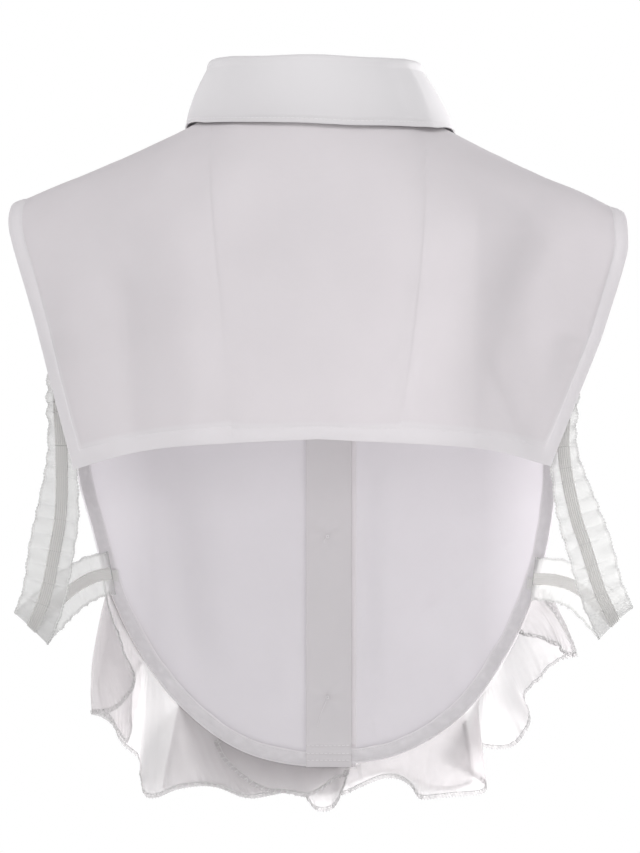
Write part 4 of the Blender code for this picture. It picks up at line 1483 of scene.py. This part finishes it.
def make_anchor(hand, side_name):
    """The elastic's end, sewn flat on the inside of the binding with a box of stitches."""

    def place(along, across):
        x = ANCHORS[hand].x + along * ANCHOR_HALF_LENGTH
        turn = turn_at_height(x, ANCHORS[hand].z + across * ELASTIC_HALF_WIDTH, -1)
        normal = body_normal(x, turn)
        sunk = ANCHOR_SUNK * (hump(1 - abs(along), 0.25) + hump(1 - abs(across), 0.25))
        return body_point(x, turn) - normal * ANCHOR_DEPTH, normal, ANCHOR_THICK - sunk

    shares = spread(-1, 1, 0.1)
    patch = wall(f"elastic_{side_name}_end", shares, shares, place, ELASTIC, "elastic")
    across_ribs(patch)

    corners = [Vector(corner) * ANCHOR_STITCH for corner in ((-1, -1), (1, -1), (1, 1), (-1, 1), (-1, -1))]
    box = []
    for start, end in zip(corners, corners[1:]):
        box += [inner_face(place(*start.lerp(end, share))) for share in spread(0, 1, 0.1)]
    name = f"elastic_{side_name}_end_stitches"
    return patch, stitch_rows(name, [box], slot="elastic", length=1.8, pitch=2.2)


def make_strap(hand, side_name):
    """A frilled band of voile with the elastic's tape along its middle."""
    steps = strap_steps(FRILL_WAVES * 16, hand)
    frames = [strap_frame(step, hand) for step, _ in steps]
    total = steps[-1][1]
    bend = min(steps, key=lambda spot: abs(spot[0] - STRAP_BEND))[1]

    def frill(length, share):
        """How far the cloth stands out at a share of its reach past the elastic, and how its edge runs."""
        calm = ease((abs(length - bend) - FRILL_CALM / 3) / FRILL_CALM)
        ends = ease(length / FRILL_CALM) * ease((total - length) / FRILL_CALM)
        phase = 2 * math.pi * FRILL_WAVES * length / total
        wander = FRILL_WANDER * noise.noise(Vector((length / 21, hand * 2.0, 5.0)))
        crowded = 1 + FRILL_CROWD * hump(length - FRILL_CROWD_AT, FRILL_CROWD_AT / 2)
        wave = FRILL_HEIGHT * crowded * math.sin(phase + wander) * share
        pleat = PLEAT_HEIGHT * crowded * hump(math.sin((phase + 2 * wander) / PLEAT_SHARE), 0.2)
        tooth = abs(2 * (length / EDGE_PITCH % 1) - 1)
        teeth = EDGE_TEETH * tooth * (0.6 + noise.noise(Vector((length / 5, 1.0, hand))))
        scallop = EDGE_SCALLOP * crowded * math.cos(phase + wander) * calm + teeth
        return (wave + pleat * (1.2 - share)) * calm * ends, scallop

    def place(number, width):
        middle, across, normal = frames[number]
        step, length = steps[number]
        station = smooth(STRAP, step)
        side = -1 if width < 0 else 1
        reach = station.outer if width < 0 else station.inner
        share = max(abs(width) - STRAP_FLAT_SHARE, 0) / (1 - STRAP_FLAT_SHARE)
        lift, scallop = frill(length, share)
        flat = STRAP_FLAT * min(abs(width) / STRAP_FLAT_SHARE, 1)
        far = flat + (reach - STRAP_FLAT + scallop) * share
        point = middle + across * side * far + normal * lift
        return point + normal * SHEER / 2, normal, SHEER

    numbers = list(range(len(steps)))
    widths = spread(-1, 1, 0.09, -STRAP_FLAT_SHARE, STRAP_FLAT_SHARE, 0)
    name, node = f"strap_{side_name}", f"strap_band_{side_name}"
    band = wall(name + "_cloth", numbers, widths, place, STRAP_VOILE, "sheer", node)
    edges = []
    for width in (-1, 1):
        edge = []
        for number in numbers[2:-2]:
            point, normal, _ = place(number, width)
            inner, _, _ = place(number, width * 0.9)
            edge.append((point - normal * SHEER / 2, normal, (inner - point).normalized()))
        edges.append(edge)
    edging = overlock(name + "_edging", edges, OVERLOCK, width=1.2, pitch=1.3, radius=0.12)

    def place_elastic(number, share):
        middle, across, normal = frames[number]
        groove = 0.5 - 0.5 * math.cos(2 * math.pi * share * ELASTIC_RIBS)
        ends = ease(min(share, 1 - share) / 0.06)
        half = ELASTIC_EDGE + (ELASTIC_SWELL + ELASTIC_RIB * groove) * ends
        point = middle + across * ELASTIC_HALF_WIDTH * (2 * share - 1)
        return point + normal * half, normal, 2 * half

    across = spread(0, 1, 0.25 / ELASTIC_RIBS, 0.02, 0.98)
    node = f"elastic_{side_name}"
    tape = wall(node + "_tape", numbers[::3], across, place_elastic, ELASTIC, "elastic", node)
    across_ribs(tape)
    sewn_on = [edging, tape, *make_anchor(hand, side_name)]


# Buttons, buttonholes and knots.

HOLE_RADIUS = 0.75
HOLE_SPREAD = 1.35
HOLE_OFFSET = HOLE_SPREAD * 0.71
SHANK = 0.25
BUTTONHOLE_HALF = 6.9
STAND_BUTTONHOLE_HALF = 6.6
BUTTONHOLE_STITCHES = 34
BUTTON_THREAD = 0.14
HEAVY_THREAD = 0.17
# Where each knot's thread end goes on the facing: across and up from the knot.
Tail = namedtuple("Tail", "across up")
TAILS = (Tail(3.0, -6.0), Tail(2.0, -4.0), Tail(6.5, -20.0))
Profile = namedtuple("Profile", "radius height")
BUTTON_PROFILE = (
    Profile(0.0, 0.0),
    Profile(4.4, 0.0),
    Profile(5.2, 0.35),
    Profile(5.5, 0.95),
    Profile(5.45, 1.6),
    Profile(5.0, 2.05),
    Profile(4.4, 2.1),
    Profile(3.8, 1.75),
    Profile(3.2, 1.5),
    Profile(0.0, 1.45),
)


def button_mesh():
    """Dished button with a rim and four holes."""
    disc = bmesh.new()
    outline = [disc.verts.new((p.radius, 0, p.height)) for p in BUTTON_PROFILE]
    edges = [disc.edges.new(pair) for pair in zip(outline, outline[1:])]
    half = outline + edges
    full = 2 * math.pi
    bmesh.ops.spin(disc, geom=half, axis=(0, 0, 1), cent=(0, 0, 0), steps=40, angle=full, use_merge=True)
    bmesh.ops.remove_doubles(disc, verts=disc.verts, dist=0.001)
    bmesh.ops.recalc_face_normals(disc, faces=disc.faces)
    blank = plain_object("button_blank", disc)
    drills = []
    for number in range(4):
        angle = QUARTER * (number + 0.5)
        drill = bmesh.new()
        spot = Matrix.Translation((HOLE_SPREAD * math.cos(angle), HOLE_SPREAD * math.sin(angle), 1.0))
        radii = {"radius1": HOLE_RADIUS, "radius2": HOLE_RADIUS}
        bmesh.ops.create_cone(drill, cap_ends=True, segments=14, depth=6, matrix=spot, **radii)
        tool = plain_object("drill", drill)
        cut = blank.modifiers.new("hole", "BOOLEAN")
        cut.object = tool
        cut.operation = "DIFFERENCE"
        cut.solver = "EXACT"
        drills.append(tool)
    bpy.context.view_layer.update()
    made = bmesh.new()
    made.from_mesh(blank.evaluated_get(bpy.context.evaluated_depsgraph_get()).to_mesh())
    for extra in (blank, *drills):
        bpy.data.objects.remove(extra, do_unlink=True)
    drilled = bpy.data.meshes.new("button_drilled")
    made.to_mesh(drilled)
    made.free()
    return drilled


def make_button(number, seat, normal, drilled):
    """A button on its seat, sewn on through its holes."""
    turn = Vector((0, 0, 1)).rotation_difference(normal).to_matrix().to_4x4()
    place = Matrix.Translation(seat) @ turn
    button = bmesh.new()
    button.from_mesh(drilled)
    bmesh.ops.transform(button, matrix=place, verts=button.verts)
    finish_mesh(f"button_{number}_disc", button, PEARL, "button", f"button_{number}", sharp=35)
    lines = []
    for side in (-1, 1):
        for slack in (-0.22, 0.0, 0.22):
            line = []
            for step in range(9):
                share = step / 8
                rise = 1.6 + 0.35 * math.sin(math.pi * share) if 0 < share < 1 else 0.4
                spot = (mix(-HOLE_OFFSET, HOLE_OFFSET, share), side * HOLE_OFFSET + slack, rise)
                line.append(place @ Vector(spot))
            lines.append(line)
    thread_lines(f"button_{number}_thread", lines, BUTTON_THREAD, THREAD, "cotton")


def make_buttonhole(name, middle, up, normal, half_length=BUTTONHOLE_HALF):
    """A worked buttonhole: close stitches down both sides of a slit and a bar at each end."""
    side = normal.cross(up).normalized()
    count = BUTTONHOLE_STITCHES
    lines = []
    for hand in (-1, 1):
        line = []
        for n in range(count + 1):
            height = mix(-half_length, half_length, n / count)
            line.append(middle + up * height + side * hand * 0.25 + normal * 0.12)
            line.append(middle + up * (height + half_length / count) + side * hand * 1.25 + normal * 0.12)
        lines.append(line)
    for end in (-half_length, half_length):
        bar = []
        for width in spread(-1.3, 1.3, 0.325):
            for inner in (0.0, 0.8):
                height = end - math.copysign(inner, end)
                bar.append(middle + up * height + side * width + normal * 0.16)
        lines.append(bar)
    thread_lines(name, lines, HEAVY_THREAD, THREAD, "cotton")


def make_knot(number, seat, normal, tail):
    """A sewing knot behind a button, with its thread end."""
    across = normal.cross(Vector((0, 0, 1))).normalized()
    up = across.cross(normal)
    loops = []
    for n in range(90):
        angle = n * 0.62
        radius = 0.95 + 0.35 * math.sin(n * 1.9)
        rise = 0.5 + 0.35 * math.sin(n * 0.83)
        loops.append(seat + (across * math.cos(angle) + up * math.sin(angle)) * radius + normal * rise)
    end = []
    for n in range(17):
        share = n / 16
        curl = 1.6 * math.sin(3.1 * share) * share
        along = (across * tail.across + up * tail.up) * share
        end.append(seat + along + across * curl + normal * (0.35 + 0.2 * share))
    thread_lines(f"knot_{number}", [loops, end], HEAVY_THREAD, THREAD, "facing")


def make_buttons():
    drilled = button_mesh()
    degrees = -180 - math.degrees(math.asin(STAND_BUTTON_X / NECK_HALF_WIDTH))
    middle = body_point(*neck(degrees)).lerp(stand_top(degrees), 0.5)
    out = outward(degrees)
    make_button(0, middle + out * (STAND_LAP + 1.0 + SHANK), out, drilled)
    level = Vector((0, 0, 1)).cross(out).normalized()
    make_buttonhole("buttonhole_0", middle + out * (STAND_LAP + 1.0), level, out, STAND_BUTTONHOLE_HALF)
    for number, (height, tail) in enumerate(zip(BUTTON_HEIGHTS, TAILS), 1):
        turn = turn_at_height(BUTTON_X, height, -1)
        normal = body_normal(BUTTON_X, turn)
        seat = body(BUTTON_X, turn, BAND_PROUD)
        make_button(number, seat + normal * SHANK, normal, drilled)
        up = (body_point(BUTTON_X, turn + 0.01) - body_point(BUTTON_X, turn)).normalized()
        make_buttonhole(f"buttonhole_{number}", seat, up, normal)
        make_knot(number, body(BUTTON_X, turn, -FACING_DEPTH - BAND - 0.2), -normal, tail)


# Stage.

CAMERA_PLACE = (-0.0013, 2.6, -0.170)
FOCAL_LENGTH = 223.97
CHEST = (0, 0, -0.18)
Lamp = namedtuple("Lamp", "name place size power target")
LAMPS = (
    Lamp("key", (0.15, 2.4, -0.15), 1.1, 21.5, CHEST),
    Lamp("top", (0.0, 1.2, 1.8), 1.4, 24, CHEST),
    Lamp("front_right", (-1.1, -0.95, -0.3), 0.8, 30, CHEST),
    Lamp("front_left", (1.9, -1.3, -0.3), 1.0, 15, CHEST),
    Lamp("side_right", (-0.6, -0.25, -0.2), 0.3, 1.7, (-0.13, -0.05, -0.2)),
    Lamp("side_left", (0.6, -0.25, -0.2), 0.3, 1.7, (0.13, -0.05, -0.2)),
)
SKY = (0.98, 0.985, 1.0, 1.0)
SKY_STRENGTH = 0.52
PAPER = (0.92, 0.92, 0.92, 1.0)
FLOOR_HEIGHT = -0.62
FLOOR_RADIUS = 1.3


def make_camera():
    data = bpy.data.cameras.new("camera")
    data.sensor_fit = "HORIZONTAL"
    data.sensor_width = 36.0
    data.lens = FOCAL_LENGTH
    data.clip_start = 0.05
    camera = bpy.data.objects.new("camera", data)
    camera.location = CAMERA_PLACE
    camera.rotation_euler = (QUARTER, 0, math.pi)
    bpy.context.scene.collection.objects.link(camera)
    bpy.context.scene.camera = camera


def make_lamp(lamp):
    """A square area lamp, turned to its target and hidden from the camera."""
    data = bpy.data.lights.new(lamp.name, "AREA")
    data.shape = "SQUARE"
    data.size = lamp.size
    data.energy = lamp.power
    light = bpy.data.objects.new(lamp.name, data)
    light.location = lamp.place
    light.visible_camera = False
    aim = Vector(lamp.target) - Vector(lamp.place)
    light.rotation_euler = aim.to_track_quat("-Z", "Y").to_euler()
    bpy.context.scene.collection.objects.link(light)


def make_world():
    """A plain sky that lights the cloth, seen by the camera as white."""
    world = Finish(bpy.data.worlds.new("studio"))
    seen = world.node("ShaderNodeLightPath", output="Is Camera Ray")
    sky = world.node("ShaderNodeBackground", sockets={"Color": SKY, "Strength": SKY_STRENGTH})
    backdrop = world.node("ShaderNodeBackground", sockets={"Color": CLEAR, "Strength": 1.0})
    chosen = world.mixed(seen, sky, backdrop)
    bpy.context.scene.world = world.show(chosen, "ShaderNodeOutputWorld")


def make_floor():
    disc = bmesh.new()
    spot = Matrix.Translation((0, 0, FLOOR_HEIGHT))
    bmesh.ops.create_circle(disc, cap_ends=True, segments=96, radius=FLOOR_RADIUS, matrix=spot)
    floor = plain_object("floor", disc)
    finish = Finish(bpy.data.materials.new("floor_paper"))
    paper = finish.node(PRINCIPLED, sockets={"Base Color": PAPER, "Roughness": 0.9})
    floor.data.materials.append(finish.show(paper))


make_camera()
for lamp in LAMPS:
    make_lamp(lamp)
make_world()
make_floor()
bpy.context.scene.view_settings.view_transform = "Standard"
make_back_panel()
make_front("left", TOP_BAND.left, 1)
make_front("right", TOP_BAND.right, -1)
make_binding("left", UNDER_BAND.left, 1)
make_binding("right", UNDER_BAND.right, -1)
make_button_band("placket_top", TOP_BAND, -BAND_PROUD, COTTON, "cotton", TOP_BAND_STITCHES, 1)
make_button_band("placket_under", UNDER_BAND, FACING_DEPTH, PAINTED_SHADE_FACING, "facing", (), -1)
make_stand()
make_fall()
make_flounce("ruffle_left", FLOUNCE_LEFT, 1, 0.75, nodes=["ruffle_left"])
# The under layer takes the voile with painted shade.
make_flounce("ruffle_left_under", FLOUNCE_UNDER, 1, 0.45, paint=SHADED_VOILE)
make_flounce("ruffle_left_turn", FLOUNCE_LEFT_TURN, 1, 0.6)
make_flounce("ruffle_right_under", FLOUNCE_RIGHT_UNDER, -1, 0.45)
make_flounce("ruffle_right", FLOUNCE_RIGHT, -1, 0.6, nodes=["ruffle_right"])
make_flounce("ruffle_right_flap", FLOUNCE_FLAP, -1, 0.9)
make_flounce("ruffle_lap", FLOUNCE_LAP, 1, 2.0, tuck=LAP_TUCK, nodes=["ruffle_lap"])
make_strap(1, "left")
make_strap(-1, "right")
make_buttons()
